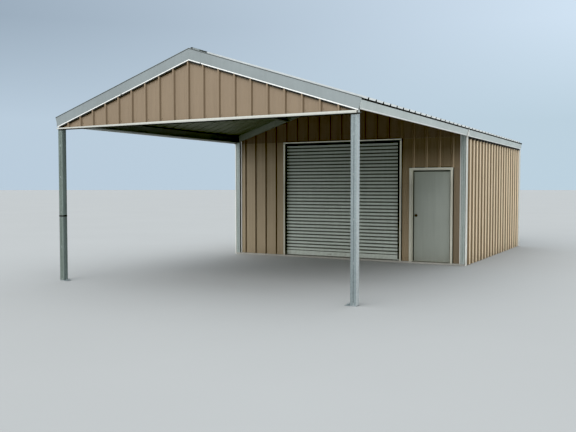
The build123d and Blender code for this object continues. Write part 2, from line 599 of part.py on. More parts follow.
def knob(yf, d):
    with BuildSketch(Plane(origin=(KNOB_X, yf, KNOB_Z), x_dir=(1, 0, 0), z_dir=(0, 0, 1))) as section:
        face([(0, 0), (33, 0), (33, d * 5), (14, d * 9), (11, d * 24), (20, d * 30), (26, d * 40), (26, d * 50),
              (18, d * 57), (0, d * 59)])
    revolve(section.sketch, axis=Axis((KNOB_X, yf, KNOB_Z), (0, 1, 0)))


with BuildPart() as door_knob_set:
    knob(LEAF_Y0, -1)
    knob(LEAF_Y0 + LEAF_T, 1)
finish(door_knob_set, "door_knob_set")


def hinge_knuckle(z0, z1):
    with BuildSketch(Plane.XY.offset(z0)) as section:
        with Locations((HINGE_X, HINGE_Y)):
            Circle(HINGE_R)
    extrude(section.sketch, amount=z1 - z0)


with BuildPart() as door_hinges_frame_side:
    for z in HINGE_Z:
        hinge_knuckle(z, z + HINGE_L / 3 - 0.5)
        hinge_knuckle(z + HINGE_L * 2 / 3 + 0.5, z + HINGE_L)
        box(DOOR_X1 - 1.4, DOOR_X1 - 0.2, LEAF_Y0 + 4, HINGE_Y - HINGE_R - 1, z, z + HINGE_L)
        box(DOOR_X1 - 1.4, DOOR_X1 - 0.2, HINGE_Y - HINGE_R - 1, HINGE_Y, z, z + HINGE_L / 3 - 0.5)
        box(DOOR_X1 - 1.4, DOOR_X1 - 0.2, HINGE_Y - HINGE_R - 1, HINGE_Y, z + HINGE_L * 2 / 3 + 0.5, z + HINGE_L)
finish(door_hinges_frame_side, "door_hinges_frame_side")

with BuildPart() as door_hinges_leaf_side:
    for z in HINGE_Z:
        hinge_knuckle(z + HINGE_L / 3 + 0.5, z + HINGE_L * 2 / 3 - 0.5)
        box(LEAF_X1 + 0.2, LEAF_X1 + 1.4, LEAF_Y0 + 4, HINGE_Y, z + HINGE_L / 3 + 0.5, z + HINGE_L * 2 / 3 - 0.5)
finish(door_hinges_leaf_side, "door_hinges_leaf_side")

# ---------------------------------------------------------------- floor inside the shed's walls
with BuildPart() as shed_floor:
    box(-HALF_FRAME, HALF_FRAME, SHED_FRONT, REAR, 0, SLAB_T)
finish(shed_floor, "shed_floor")
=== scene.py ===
import math
import random

import bpy
import bmesh
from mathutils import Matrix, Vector


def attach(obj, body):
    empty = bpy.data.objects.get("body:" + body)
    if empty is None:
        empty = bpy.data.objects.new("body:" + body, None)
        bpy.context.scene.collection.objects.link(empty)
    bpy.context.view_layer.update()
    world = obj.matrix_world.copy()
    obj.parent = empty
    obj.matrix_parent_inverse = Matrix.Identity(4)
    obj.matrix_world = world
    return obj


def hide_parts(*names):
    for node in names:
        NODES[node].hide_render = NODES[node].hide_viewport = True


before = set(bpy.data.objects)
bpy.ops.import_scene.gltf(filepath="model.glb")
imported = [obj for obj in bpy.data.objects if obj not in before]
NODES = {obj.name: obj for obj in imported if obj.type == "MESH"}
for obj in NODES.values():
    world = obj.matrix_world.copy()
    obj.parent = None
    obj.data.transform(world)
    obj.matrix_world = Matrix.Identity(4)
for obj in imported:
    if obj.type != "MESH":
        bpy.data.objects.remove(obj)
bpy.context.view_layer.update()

rnd = random.Random(7)

# ------------------------------------------------------------------ sizes, metres, as in the frame
LENGTH = 12.234
Y0 = -LENGTH / 2
Y1 = LENGTH / 2
PITCH = 0.3225
COS = 1 / math.sqrt(1 + PITCH ** 2)
SIN = PITCH * COS
APEX = 4.048
ROOF_HALF = 3.088
RIB = 0.3048
RIB_H = 0.032
RB, RT = 0.032, 0.013
T = 0.002
RIB_Y = Y0 + 6.345
WALL_RIB_Y = Y0 + 6.168
FACE_RIB = -0.030
FRONT = Y0 + 0.042
SHED = Y0 + 6.087
REAR = Y1 - 0.042
HALF = 3.017
POST = 0.1016
HEADER_Z = 2.844
EAVE_Z = 2.918
WALL_Y = SHED + 0.060
ROLL_X0, ROLL_X1, ROLL_TOP = -1.575, 1.473, 2.840
TRIM_W = 0.043
DOOR_X0, DOOR_X1, DOOR_TOP, DOOR_FACE = 1.764, 2.677, 2.151, 0.051
DOOR_STOP = 0.016
FRAME_Y0 = SHED + 0.014
LEAF_Y0 = FRAME_Y0 + 0.100
LEAF_T = 0.044
LEAF_X0, LEAF_X1 = DOOR_X0 + 0.007, DOOR_X1 - 0.005
LEAF_Z0, LEAF_Z1 = 0.048, DOOR_TOP - 0.006
SLAB = 0.040
STUD_Y1 = SHED + POST
CURTAIN_Y = STUD_Y1 + 0.032
RAKE_TOP, RAKE_BOTTOM = 0.0095, -0.1875


def roof_z(x, drop=0.0):
    return APEX - abs(x) * PITCH - drop / COS


# ------------------------------------------------------------------ materials
class Mat:
    """A node material with the object's own coordinates and a chain of colour, roughness and bump."""

    def __init__(self, name, color, rough, metallic=0.0, specular=0.5):
        self.m = bpy.data.materials.new(name)
        self.m.use_nodes = True
        self.nt = self.m.node_tree
        self.nt.nodes.clear()
        self.out = self.nt.nodes.new("ShaderNodeOutputMaterial")
        self.b = self.nt.nodes.new("ShaderNodeBsdfPrincipled")
        self.nt.links.new(self.b.outputs[0], self.out.inputs[0])
        self.b.inputs["Metallic"].default_value = metallic
        self.b.inputs["Specular IOR Level"].default_value = specular
        self.b.inputs["Roughness"].default_value = rough
        self.co = self.nt.nodes.new("ShaderNodeTexCoord").outputs["Object"]
        rgb = self.nt.nodes.new("ShaderNodeRGB")
        rgb.outputs[0].default_value = (*color, 1)
        self.col = rgb.outputs[0]
        self.rough = None
        self.rough0 = rough
        self.nrm = None

    def link(self, a, b):
        self.nt.links.new(a, b)

    def mapped(self, scale, shift=(0, 0, 0)):
        n = self.nt.nodes.new("ShaderNodeMapping")
        n.inputs["Scale"].default_value = scale
        n.inputs["Location"].default_value = shift
        self.link(self.co, n.inputs["Vector"])
        return n.outputs[0]

    def noise(self, scale, detail=3.0, rough=0.55, stretch=(1, 1, 1), shift=(0, 0, 0)):
        n = self.nt.nodes.new("ShaderNodeTexNoise")
        n.inputs["Scale"].default_value = scale
        n.inputs["Detail"].default_value = detail
        n.inputs["Roughness"].default_value = rough
        self.link(self.mapped(stretch, shift), n.inputs["Vector"])
        return n.outputs["Fac"]

    def cells(self, scale, stretch=(1, 1, 1), rand=1.0):
        """One grey value for each cell."""
        n = self.nt.nodes.new("ShaderNodeTexVoronoi")
        n.inputs["Scale"].default_value = scale
        n.inputs["Randomness"].default_value = rand
        self.link(self.mapped(stretch), n.inputs["Vector"])
        s = self.nt.nodes.new("ShaderNodeSeparateColor")
        self.link(n.outputs["Color"], s.inputs[0])
        return s.outputs[0]

    def height(self):
        s = self.nt.nodes.new("ShaderNodeSeparateXYZ")
        self.link(self.co, s.inputs[0])
        return s.outputs["Z"]

    def span(self, fac, a0, a1, b0, b1):
        n = self.nt.nodes.new("ShaderNodeMapRange")
        n.clamp = True
        for i, v in zip((1, 2, 3, 4), (a0, a1, b0, b1)):
            n.inputs[i].default_value = v
        self.link(fac, n.inputs[0])
        return n.outputs[0]

    def math(self, op, a, b):
        n = self.nt.nodes.new("ShaderNodeMath")
        n.operation = op
        for i, v in enumerate((a, b)):
            if isinstance(v, (int, float)):
                n.inputs[i].default_value = v
            else:
                self.link(v, n.inputs[i])
        return n.outputs[0]

    def shade(self, fac, lo, hi, a0=0.3, a1=0.7):
        """Multiplies the colour by lo..hi as fac goes from a0 to a1."""
        v = self.span(fac, a0, a1, lo, hi)
        n = self.nt.nodes.new("ShaderNodeVectorMath")
        n.operation = "SCALE"
        self.link(self.col, n.inputs[0])
        self.link(v, n.inputs["Scale"])
        self.col = n.outputs[0]

    def tint(self):
        """A face attribute, 0 where there is none, makes each sheet a little lighter or darker."""
        a = self.nt.nodes.new("ShaderNodeAttribute")
        a.attribute_name = "tint"
        v = self.math("ADD", a.outputs["Fac"], 1.0)
        n = self.nt.nodes.new("ShaderNodeVectorMath")
        n.operation = "SCALE"
        self.link(self.col, n.inputs[0])
        self.link(v, n.inputs["Scale"])
        self.col = n.outputs[0]

    def toward(self, fac, color):
        n = self.nt.nodes.new("ShaderNodeMix")
        n.data_type = "RGBA"
        self.link(fac, n.inputs[0])
        self.link(self.col, n.inputs[6])
        n.inputs[7].default_value = (*color, 1)
        self.col = n.outputs[2]

    def roughen(self, fac, lo, hi, a0=0.3, a1=0.7):
        self.rough = self.span(fac, a0, a1, lo, hi)

    def bump(self, fac, distance, strength=1.0):
        n = self.nt.nodes.new("ShaderNodeBump")
        n.inputs["Strength"].default_value = strength
        n.inputs["Distance"].default_value = distance
        self.link(fac, n.inputs["Height"])
        if self.nrm is not None:
            self.link(self.nrm, n.inputs["Normal"])
        self.nrm = n.outputs[0]

    def done(self):
        self.link(self.col, self.b.inputs["Base Color"])
        if self.rough is not None:
            self.link(self.rough, self.b.inputs["Roughness"])
        if self.nrm is not None:
            self.link(self.nrm, self.b.inputs["Normal"])
        return self.m


def paint(name, color, rough=0.42, dirt=0.35, specular=0.4, waves=0.0012, dirt_color=(0.20, 0.16, 0.11), metallic=0.0, painted_height_shading=None):
    """Coil-coated sheet: faint clouds, rain streaks, splash dirt near the ground, slight waviness, and on request
    painted light and shade by height.
    """
    m = Mat(name, color, rough, metallic, specular)
    m.tint()
    m.shade(m.noise(0.9, 4), 0.955, 1.04)
    m.shade(m.noise(3.0, 5, 0.6, stretch=(6, 6, 0.30)), 0.94, 1.035)
    m.shade(m.noise(85, 2), 0.985, 1.015)
    if painted_height_shading:                                 # (height, height, share, share): painted light and shade by height
        m.shade(m.height(), painted_height_shading[2], painted_height_shading[3], painted_height_shading[0], painted_height_shading[1])
    low = m.span(m.height(), 0.02, 0.42, 1.0, 0.0)
    mud = m.math("MULTIPLY", m.math("POWER", low, 2.2), m.span(m.noise(14, 5, 0.65), 0.35, 0.7, 0.2, 1.0))
    m.toward(m.math("MULTIPLY", mud, dirt), dirt_color)
    specks = m.span(m.noise(190, 2, 0.5), 0.70, 0.78, 0.0, 0.20)
    m.toward(specks, dirt_color)
    m.roughen(m.noise(5, 4), rough - 0.07, rough + 0.10)
    m.bump(m.noise(2.2, 2, 0.4, stretch=(1, 1, 0.5)), waves)
    m.bump(m.noise(600, 1), 0.00003)
    return m.done()


def zinc(name, color, rough=0.42, metallic=0.65, cell=85, contrast=0.10, streak=0.06, under=False):
    """Hot-dip zinc or aluminium-zinc coat: spangle cells, dull streaks, white bloom."""
    m = Mat(name, color, rough, metallic, 0.5)
    m.tint()
    m.shade(m.cells(cell), 1 - contrast, 1 + contrast, 0.0, 1.0)
    m.shade(m.cells(cell * 2.7), 1 - contrast * 0.5, 1 + contrast * 0.5, 0.0, 1.0)
    m.shade(m.noise(1.3, 4), 0.93, 1.06)
    m.shade(m.noise(3.0, 5, 0.6, stretch=(7, 7, 0.35)), 1 - streak, 1 + streak)
    bloom = m.span(m.noise(9, 6, 0.7), 0.60, 0.78, 0.0, 0.30)
    m.toward(bloom, tuple(min(1.0, c * 1.25) for c in color))
    grime = m.span(m.noise(28, 4, 0.6, shift=(3, 1, 2)), 0.63, 0.80, 0.0, 0.35)
    m.toward(grime, tuple(c * 0.55 for c in color))
    m.roughen(m.cells(cell * 1.3), rough - 0.08, rough + 0.12, 0.0, 1.0)
    m.bump(m.noise(150, 2), 0.00012)
    m.bump(m.noise(2.4, 2, 0.4), 0.0010 if not under else 0.0006)
    return m.done()


TAN = paint("tan_sheet_paint", (0.277, 0.209, 0.143), 0.43, dirt=0.55)
# darker copy of the tan paint for rib flanks: painted shade
TAN_FLANK = paint("tan_flank_painted_shade", (0.196, 0.144, 0.095), 0.50, dirt=0.55)
TAN_SIDE = paint("tan_side_sheet", (0.268, 0.196, 0.122), 0.60, dirt=0.45, specular=0.10)
# near-white copy of the tan paint for the right wall's front rib flanks: painted light
TAN_SIDE_FLANK = paint("tan_side_flank_painted_light", (0.960, 0.790, 0.580), 0.43, dirt=0.55)
# Shed front under the carport roof: copies of the tan paint that carry its light and shade. Beside the roll-up door it
# is lighter low down and darker towards the roof, with near-black flanks: painted light, painted shade.
TAN_PAINTED_ROOF_SHADE = paint("tan_sheet_painted_light_and_roof_shade", (0.380, 0.302, 0.204), 0.46, dirt=0.55, painted_height_shading=(2.30, 2.85, 1.0, 0.60))
TAN_PAINTED_ROOF_SHADE_FLANK = paint("tan_flank_painted_deep_shade", (0.060, 0.044, 0.028), 0.52, dirt=0.55)
# Round the walk door: darker towards the roof, painted shade; right of the door darker overall and towards the bottom,
# painted shade; light flanks darkening towards the roof, painted light and painted shade.
TAN_DIM = paint("tan_sheet_painted_roof_shade", (0.352, 0.273, 0.180), 0.50, dirt=0.55, painted_height_shading=(2.10, 2.66, 1.0, 0.46))
TAN_RIGHT = paint("tan_sheet_painted_roof_shade_right", (0.275, 0.215, 0.150), 0.50, dirt=0.55, painted_height_shading=(0.5, 1.8, 0.76, 1.0))
TAN_DIM_FLANK = paint("tan_flank_painted_light_and_shade", (0.60, 0.46, 0.31), 0.50, dirt=0.55, painted_height_shading=(2.15, 2.95, 1.0, 0.36))
# Shed gable under the roof, dark throughout: painted roof shadow.
TAN_UPPER = paint("tan_sheet_painted_roof_shadow", (0.146, 0.114, 0.085), 0.52, dirt=0.3, painted_height_shading=(2.90, 3.30, 1.0, 1.12))
TAN_UPPER_FLANK = paint("tan_flank_painted_roof_shadow", (0.100, 0.075, 0.046), 0.52, dirt=0.3, painted_height_shading=(2.9, 3.4, 1.0, 0.9))
TAN_SCREW = paint("tan_screw_paint", (0.36, 0.27, 0.185), 0.38, dirt=0.3, waves=0.0)
BACK = paint("sheet_backer", (0.47, 0.47, 0.43), 0.55, dirt=0.1)
ROOF = zinc("roof_sheet_top", (0.44, 0.46, 0.46), 0.46, 0.55, cell=110, contrast=0.05, streak=0.05)
# underside wash coat, its colour painted darker: painted shade under the roof
SOFFIT = zinc("roof_underside_painted_shade", (0.129, 0.147, 0.106), 0.55, 0.10, cell=110, contrast=0.04, streak=0.05, under=True)
RAKE_TRIM = zinc("rake_satin_grey", (0.237, 0.271, 0.277), 0.45, 0.10, cell=160, contrast=0.025, streak=0.03)
GROOVE = zinc("trim_groove_shade", (0.095, 0.105, 0.105), 0.60, 0.10, cell=160, contrast=0.03, streak=0.03)
# eave trim grey, about three times lighter than the rake grey: painted light
TRIM = zinc("trim_grey_painted_light", (0.726, 0.779, 0.750), 0.42, 0.10, cell=160, contrast=0.025, streak=0.03)
# near-white paint for the trims' hems, lips and edge strips: painted highlight
LIP = paint("trim_edge_painted_highlight", (0.93, 0.93, 0.90), 0.40, dirt=0.3, waves=0.0003)
CORNER = paint("corner_trim_light", (0.950, 0.950, 0.890), 0.42, dirt=0.5, waves=0.0004)
BASE_TRIM = paint("base_trim_light", (0.562, 0.567, 0.522), 0.42, dirt=0.0, waves=0.0004)
GALV = zinc("galvanised_steel", (0.275, 0.323, 0.334), 0.42, 0.50, cell=70, contrast=0.10, streak=0.06)
# the left front post's inner web: painted shade
GALV_LEFT_WEB = zinc("galvanised_left_web_painted_shade", (0.231, 0.286, 0.273), 0.40, 0.35, contrast=0.08)
# lighter copy of the galvanised for the right post's side web and the header's end plate: painted highlight
GALV_BRIGHT = zinc("galvanised_painted_highlight", (0.658, 0.708, 0.708), 0.36, 0.45, cell=70, contrast=0.08, streak=0.04)
# the left front post, darker than the right one
GALV_LEFT = zinc("galvanised_left_post_darker", (0.172, 0.212, 0.191), 0.50, 0.35, cell=70, contrast=0.12, streak=0.10)
# a lighter galvanised for the shed's corner posts
GALV_SHED = zinc("galvanised_corner_posts_lighter", (0.416, 0.468, 0.446), 0.44, 0.40, cell=70, contrast=0.09, streak=0.05)
# a darker copy of the galvanised for the header, beams, rafters, purlins, clips and the closures under the ridge cap:
# painted shade
GALV_DARK = zinc("galvanised_painted_shade", (0.165, 0.182, 0.165), 0.52, 0.20, cell=70, contrast=0.07, streak=0.05)
GALV_RAFTER = zinc("galvanised_rafter_steel", (0.240, 0.262, 0.222), 0.52, 0.20, cell=70, contrast=0.07, streak=0.05)
# grey-green curtain, darker towards the top under the roof: painted shade; near-black valleys: painted shade
ROLLUP = paint("rollup_grey_green_painted_shade_top", (0.61, 0.665, 0.605), 0.44, dirt=0.45, waves=0.0006, painted_height_shading=(1.35, 2.7, 1.0, 0.70))
ROLLUP_VALLEY = paint("rollup_valley_painted_shade", (0.130, 0.144, 0.124), 0.58, dirt=0.45, waves=0.0004, painted_height_shading=(1.35, 2.7, 1.0, 0.72))
# door leaf and door and roll-up frames, lighter towards the top: painted light
DOOR = paint("door_grey_painted_light_top", (0.405, 0.434, 0.391), 0.45, dirt=0.35, waves=0.0005, painted_height_shading=(0.9, 2.0, 0.95, 1.17))
DOOR_FRAME = paint("door_frame_cream_painted_light_top", (0.756, 0.741, 0.631), 0.40, dirt=0.4, waves=0.0002, painted_height_shading=(1.8, 2.12, 0.83, 1.16))


def metal_satin():
    m = Mat("door_metal_satin", (0.42, 0.40, 0.36), 0.30, 1.0)
    m.shade(m.noise(40, 4, 0.6, stretch=(1, 1, 12)), 0.85, 1.1)
    m.roughen(m.noise(220, 3), 0.24, 0.42)
    m.bump(m.noise(700, 2, 0.5, stretch=(1, 1, 8)), 0.00003)
    return m.done()


def dark_bronze():
    m = Mat("knob_dark_bronze", (0.070, 0.055, 0.042), 0.34, 0.85)
    m.shade(m.noise(60, 4), 0.8, 1.3)
    m.roughen(m.noise(120, 3), 0.26, 0.45)
    m.bump(m.noise(500, 2), 0.00003)
    return m.done()


def concrete():
    m = Mat("trowelled_concrete", (0.42, 0.41, 0.375), 0.78, 0.0, 0.35)
    m.shade(m.noise(0.8, 6, 0.6), 0.86, 1.10)
    m.shade(m.noise(24, 6, 0.65), 0.92, 1.06)
    m.toward(m.span(m.noise(260, 2), 0.66, 0.74, 0.0, 0.5), (0.25, 0.24, 0.21))
    m.roughen(m.noise(6, 4), 0.66, 0.88)
    m.bump(m.noise(60, 6, 0.65), 0.0012)
    m.bump(m.noise(420, 2), 0.0003)
    return m.done()


def rubber(name, color, rough):
    m = Mat(name, color, rough, 0.0, 0.35)
    m.shade(m.noise(35, 4), 0.75, 1.35)
    m.roughen(m.noise(50, 3), rough - 0.08, rough + 0.12)
    m.bump(m.noise(480, 3), 0.00012)
    return m.done()


def weld_metal():
    m = Mat("weld_bead", (0.50, 0.53, 0.55), 0.42, 0.7)
    m.shade(m.noise(160, 4, 0.7), 0.7, 1.2)
    m.toward(m.span(m.noise(60, 4), 0.58, 0.72, 0.0, 0.5), (0.23, 0.15, 0.09))
    m.roughen(m.noise(180, 3), 0.32, 0.6)
    m.bump(m.noise(420, 3), 0.0004)
    return m.done()


METAL = metal_satin()
BRONZE = dark_bronze()
CONCRETE = concrete()
# black foam, rubber washers and seals; the same black fills strips that stand in for shadow gaps: painted shadow
RUBBER = rubber("dark_rubber_and_painted_shadow", (0.020, 0.021, 0.020), 0.75)
STRAP = rubber("strap_webbing", (0.018, 0.018, 0.019), 0.60)
WELD = weld_metal()


# ------------------------------------------------------------------ mesh building
def rounded(pts, r=0.003, n=2):
    """Rounds the inner corners of an open path. A point may carry its own radius as a third number."""
    out = []
    last = len(pts) - 1
    for i, p in enumerate(pts):
        rr = p[2] if len(p) > 2 else r
        if i in (0, last) or rr <= 0:
            out.append((p[0], p[1]))
            continue
        b = Vector(p[:2])
        u = Vector(pts[i - 1][:2]) - b
        v = Vector(pts[i + 1][:2]) - b
        lu, lv = u.length, v.length
        if lu < 1e-7 or lv < 1e-7:
            continue
        u /= lu
        v /= lv
        ang = math.acos(max(-1.0, min(1.0, u.dot(v))))
        if ang > math.radians(178):
            out.append((p[0], p[1]))
            continue
        d = min(rr / math.tan(ang / 2), 0.46 * lu, 0.46 * lv)
        rr = d * math.tan(ang / 2)
        c = b + (u + v).normalized() * (rr / math.sin(ang / 2))
        p0, p1 = b + u * d - c, b + v * d - c
        a0 = math.atan2(p0.y, p0.x)
        da = math.atan2(p1.y, p1.x) - a0
        while da > math.pi:
            da -= 2 * math.pi
        while da < -math.pi:
            da += 2 * math.pi
        for k in range(n + 1):
            a = a0 + da * k / n
            out.append((c.x + rr * math.cos(a), c.y + rr * math.sin(a)))
    return out


def offset(path, t):
    """The path moved by t to its left."""
    segs = []
    for (ax, ay), (bx, by) in zip(path, path[1:]):
        d = math.hypot(bx - ax, by - ay) or 1e-9
        segs.append((-(by - ay) / d, (bx - ax) / d))
    out = []
    for i, (x, y) in enumerate(path):
        n0 = segs[max(0, i - 1)]
        n1 = segs[min(len(segs) - 1, i)]
        k = 1 + n0[0] * n1[0] + n0[1] * n1[1]
        k = max(k, 0.35)
        out.append((x + t * (n0[0] + n1[0]) / k, y + t * (n0[1] + n1[1]) / k))
    return out


class Build:
    """Collects faces and makes one mesh object of them."""

    def __init__(self):
        self.v, self.f, self.m, self.t = [], [], [], []

    def add(self, verts, faces, mat=0, tint=0.0):
        o = len(self.v)
        self.v += [tuple(p) for p in verts]
        for i, f in enumerate(faces):
            self.f.append([o + k for k in f])
            self.m.append(mat[i] if isinstance(mat, list) else mat)
            self.t.append(tint)

    def ribbon(self, outer, inner, f0, f1, mats=(0, 0, 0), tint=0.0, steps=None, seg=None):
        """A bent sheet between two ends. f0 and f1 place a profile point at either end."""
        n = len(outer)
        rows = [[f0(*p) for p in outer] + [f0(*p) for p in inner], [f1(*p) for p in outer] + [f1(*p) for p in inner]]
        if steps:
            mid = []
            for k in range(1, steps):
                w = k / steps
                mid.append([Vector(a).lerp(Vector(b), w) for a, b in zip(rows[0], rows[1])])
            rows = [rows[0]] + mid + [rows[1]]
        verts = [p for r in rows for p in r]
        faces, mm = [], []
        w = 2 * n
        for r in range(len(rows) - 1):
            a, b = r * w, (r + 1) * w
            for i in range(n - 1):
                faces.append((a + i, a + i + 1, b + i + 1, b + i))
                mm.append(seg(outer[i], outer[i + 1]) if seg else mats[0])
                faces.append((a + n + i + 1, a + n + i, b + n + i, b + n + i + 1))
                mm.append(mats[1])
            faces.append((a, b, b + n, a + n))
            mm.append(mats[2])
            faces.append((a + n - 1, a + 2 * n - 1, b + 2 * n - 1, b + n - 1))
            mm.append(mats[2])
        a, b = 0, (len(rows) - 1) * w
        for i in range(n - 1):
            faces.append((a + i, a + n + i, a + n + i + 1, a + i + 1))
            mm.append(mats[2])
            faces.append((b + i, b + i + 1, b + n + i + 1, b + n + i))
            mm.append(mats[2])
        self.add(verts, faces, mm, tint)

    def prism(self, outline, f0, f1, mat=0, tint=0.0):
        """A closed outline between two ends."""
        n = len(outline)
        verts = [f0(*p) for p in outline] + [f1(*p) for p in outline]
        faces = [tuple(range(n))[::-1], tuple(range(n, 2 * n))]
        faces += [(i, (i + 1) % n, n + (i + 1) % n, n + i) for i in range(n)]
        self.add(verts, faces, mat, tint)

    def lathe(self, profile, place, seg=24, mat=0):
        """Turns (radius, along) pairs about an axis; place(x, y, along) gives the point."""
        verts, faces = [], []
        for r, h in profile:
            for k in range(seg):
                a = 2 * math.pi * k / seg
                verts.append(place(r * math.cos(a), r * math.sin(a), h))
        for i in range(len(profile) - 1):
            for k in range(seg):
                k2 = (k + 1) % seg
                faces.append((i * seg + k, i * seg + k2, (i + 1) * seg + k2, (i + 1) * seg + k))
        faces.append(tuple(range(seg))[::-1])
        faces.append(tuple(range((len(profile) - 1) * seg, len(profile) * seg)))
        self.add(verts, faces, mat)

    def box(self, x0, x1, y0, y1, z0, z1, mat=0, r=0.0, tint=0.0):
        """A block; with r, its corners and edges are cut at 45 degrees twice."""
        if r <= 0:
            v = [(x, y, z) for x in (x0, x1) for y in (y0, y1) for z in (z0, z1)]
            self.add(v, [(0, 1, 3, 2), (4, 6, 7, 5), (0, 4, 5, 1), (2, 3, 7, 6), (0, 2, 6, 4), (1, 5, 7, 3)], mat, tint)
            return
        ring = rounded([((x0 + x1) / 2, y0), (x0, y0), (x0, y1), (x1, y1), (x1, y0), ((x0 + x1) / 2, y0)], r, 3)[1:-1]
        cx, cy = (x0 + x1) / 2, (y0 + y1) / 2

        def inset(d):
            return [(x - math.copysign(min(d, abs(x - cx)), x - cx), y - math.copysign(min(d, abs(y - cy)), y - cy)) for x, y in ring]
        loops = [(inset(r), z0), (inset(r * 0.3), z0 + r * 0.3), (ring, z0 + r), (ring, z1 - r), (inset(r * 0.3), z1 - r * 0.3), (inset(r), z1)]
        n = len(ring)
        verts = [(x, y, z) for loop, z in loops for x, y in loop]
        faces = [tuple(range(n))[::-1], tuple(range(5 * n, 6 * n))]
        for k in range(5):
            faces += [(k * n + i, k * n + (i + 1) % n, (k + 1) * n + (i + 1) % n, (k + 1) * n + i) for i in range(n)]
        self.add(verts, faces, mat, tint)

    def object(self, name, mats, body="building", replaces=(), angle=38):
        me = bpy.data.meshes.new(name)
        me.from_pydata(self.v, [], self.f)
        for m in mats:
            me.materials.append(m)
        me.polygons.foreach_set("material_index", self.m)
        me.update()
        a = me.attributes.new("tint", "FLOAT", "FACE")
        a.data.foreach_set("value", self.t)
        bm = bmesh.new()
        bm.from_mesh(me)
        bmesh.ops.recalc_face_normals(bm, faces=bm.faces)
        bm.to_mesh(me)
        bm.free()
        me.polygons.foreach_set("use_smooth", [True] * len(me.polygons))
        me.set_sharp_from_angle(angle=math.radians(angle))
        ob = bpy.data.objects.new(name, me)
        bpy.context.scene.collection.objects.link(ob)
        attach(ob, body)
        if replaces:
            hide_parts(*replaces)
        return ob


def frames(nrm):
    n = Vector(nrm).normalized()
    u = n.cross(Vector((0, 0, 1)))
    if u.length < 0.2:
        u = n.cross(Vector((0, 1, 0)))
    u.normalize()
    return u, n.cross(u).normalized(), n


SCREW = [(0.0072, 0.0), (0.0076, 0.0006), (0.0070, 0.0016), (0.0046, 0.0019)]


def screw(b, pos, nrm, mats=(0, 1), k=1.0, washer=True):
    """Hex-head sheet screw on a bonded washer."""
    u, v, n = frames(nrm)
    spin = rnd.random() * 6.28
    p = Vector(pos) - n * 0.0004
    if washer:
        b.lathe([(r * k, h * k) for r, h in SCREW], lambda x, y, h: p + u * x + v * y + n * h, 10, mats[1])
    verts, faces = [], []
    for r, h in ((0.0046, 0.0016), (0.0046, 0.0058), (0.0039, 0.0065)):
        for i in range(6):
            a = spin + math.pi / 3 * i
            verts.append(p + u * (r * k * math.cos(a)) + v * (r * k * math.sin(a)) + n * (h * k))
    for row in range(2):
        for i in range(6):
            j = (i + 1) % 6
            faces.append((row * 6 + i, row * 6 + j, row * 6 + 6 + j, row * 6 + 6 + i))
    faces += [(5, 4, 3, 2, 1, 0), (12, 13, 14, 15, 16, 17)]
    b.add(verts, faces, mats[0])


# ------------------------------------------------------------------ ribbed sheets
def rib_list(a0, a1, through, pitch=RIB):
    c = through - math.floor((through - a0) / pitch) * pitch
    out = []
    while c + RB < a1 - 0.002:
        if c - RB > a0 + 0.002:
            out.append(c)
        c += pitch
    return out


def sheet_path(a0, a1, ribs, low=0.0):
    """Outer face of one length of sheet: the high ribs, with two low stiffening ribs in each pan."""
    pts = [(a0, low)]
    edges = [a0] + ribs + [a1]
    for i, c in enumerate(ribs):
        nxt = edges[i + 2] if i + 2 < len(edges) - 1 else None
        prev = ribs[i - 1] if i else None
        if prev is None:
            for m in (c - 2 * RIB / 3, c - RIB / 3):
                if m - 0.016 > a0 + 0.004:
                    pts += minor(m)
        pts += [(c - RB, 0.0, 0.004), (c - RT, RIB_H, 0.004), (c + RT, RIB_H, 0.004), (c + RB, 0.0, 0.004)]
        for m in (c + RIB / 3, c + 2 * RIB / 3):
            if (nxt is not None and m < nxt) or (nxt is None and m + 0.016 < a1 - 0.004):
                pts += minor(m)
    if not ribs:
        for m in [a0 + (a1 - a0) * 0.33, a0 + (a1 - a0) * 0.67]:
            if a1 - a0 > 0.12:
                pts += minor(m)
    pts.append((a1, 0.0))
    return pts


def minor(m):
    return [(m - 0.014, 0.0, 0.003), (m - 0.006, 0.0030, 0.003), (m + 0.006, 0.0030, 0.003), (m + 0.014, 0.0, 0.003)]


def lengths(a0, a1, ribs, every=3, first=0):
    """Splits a run of ribs into sheets that lap over each other at every third rib."""
    laps = [c for i, c in enumerate(ribs) if i % every == first and a0 + 0.25 < c < a1 - 0.25]
    cuts = [None] + laps + [None]
    out = []
    for left, right in zip(cuts, cuts[1:]):
        s = a0 if left is None else left - RB - 0.007
        e = a1 if right is None else right + RB - 0.006
        inside = [c for c in ribs if (left is None or c >= left - 1e-6) and (right is None or c <= right + 1e-6)]
        out.append((s, e, inside, left))
    return out


def rib_part(p, q):
    """Slot 2 for the two flanks of a high rib, 0 elsewhere."""
    rise = abs(q[1] - p[1])
    return 2 if rise > 0.004 and rise > abs(q[0] - p[0]) else 0


def rib_front(p, q):
    """Slot 2 for the front flank of a high rib."""
    return 2 if rib_part(p, q) and q[1] > p[1] else 0


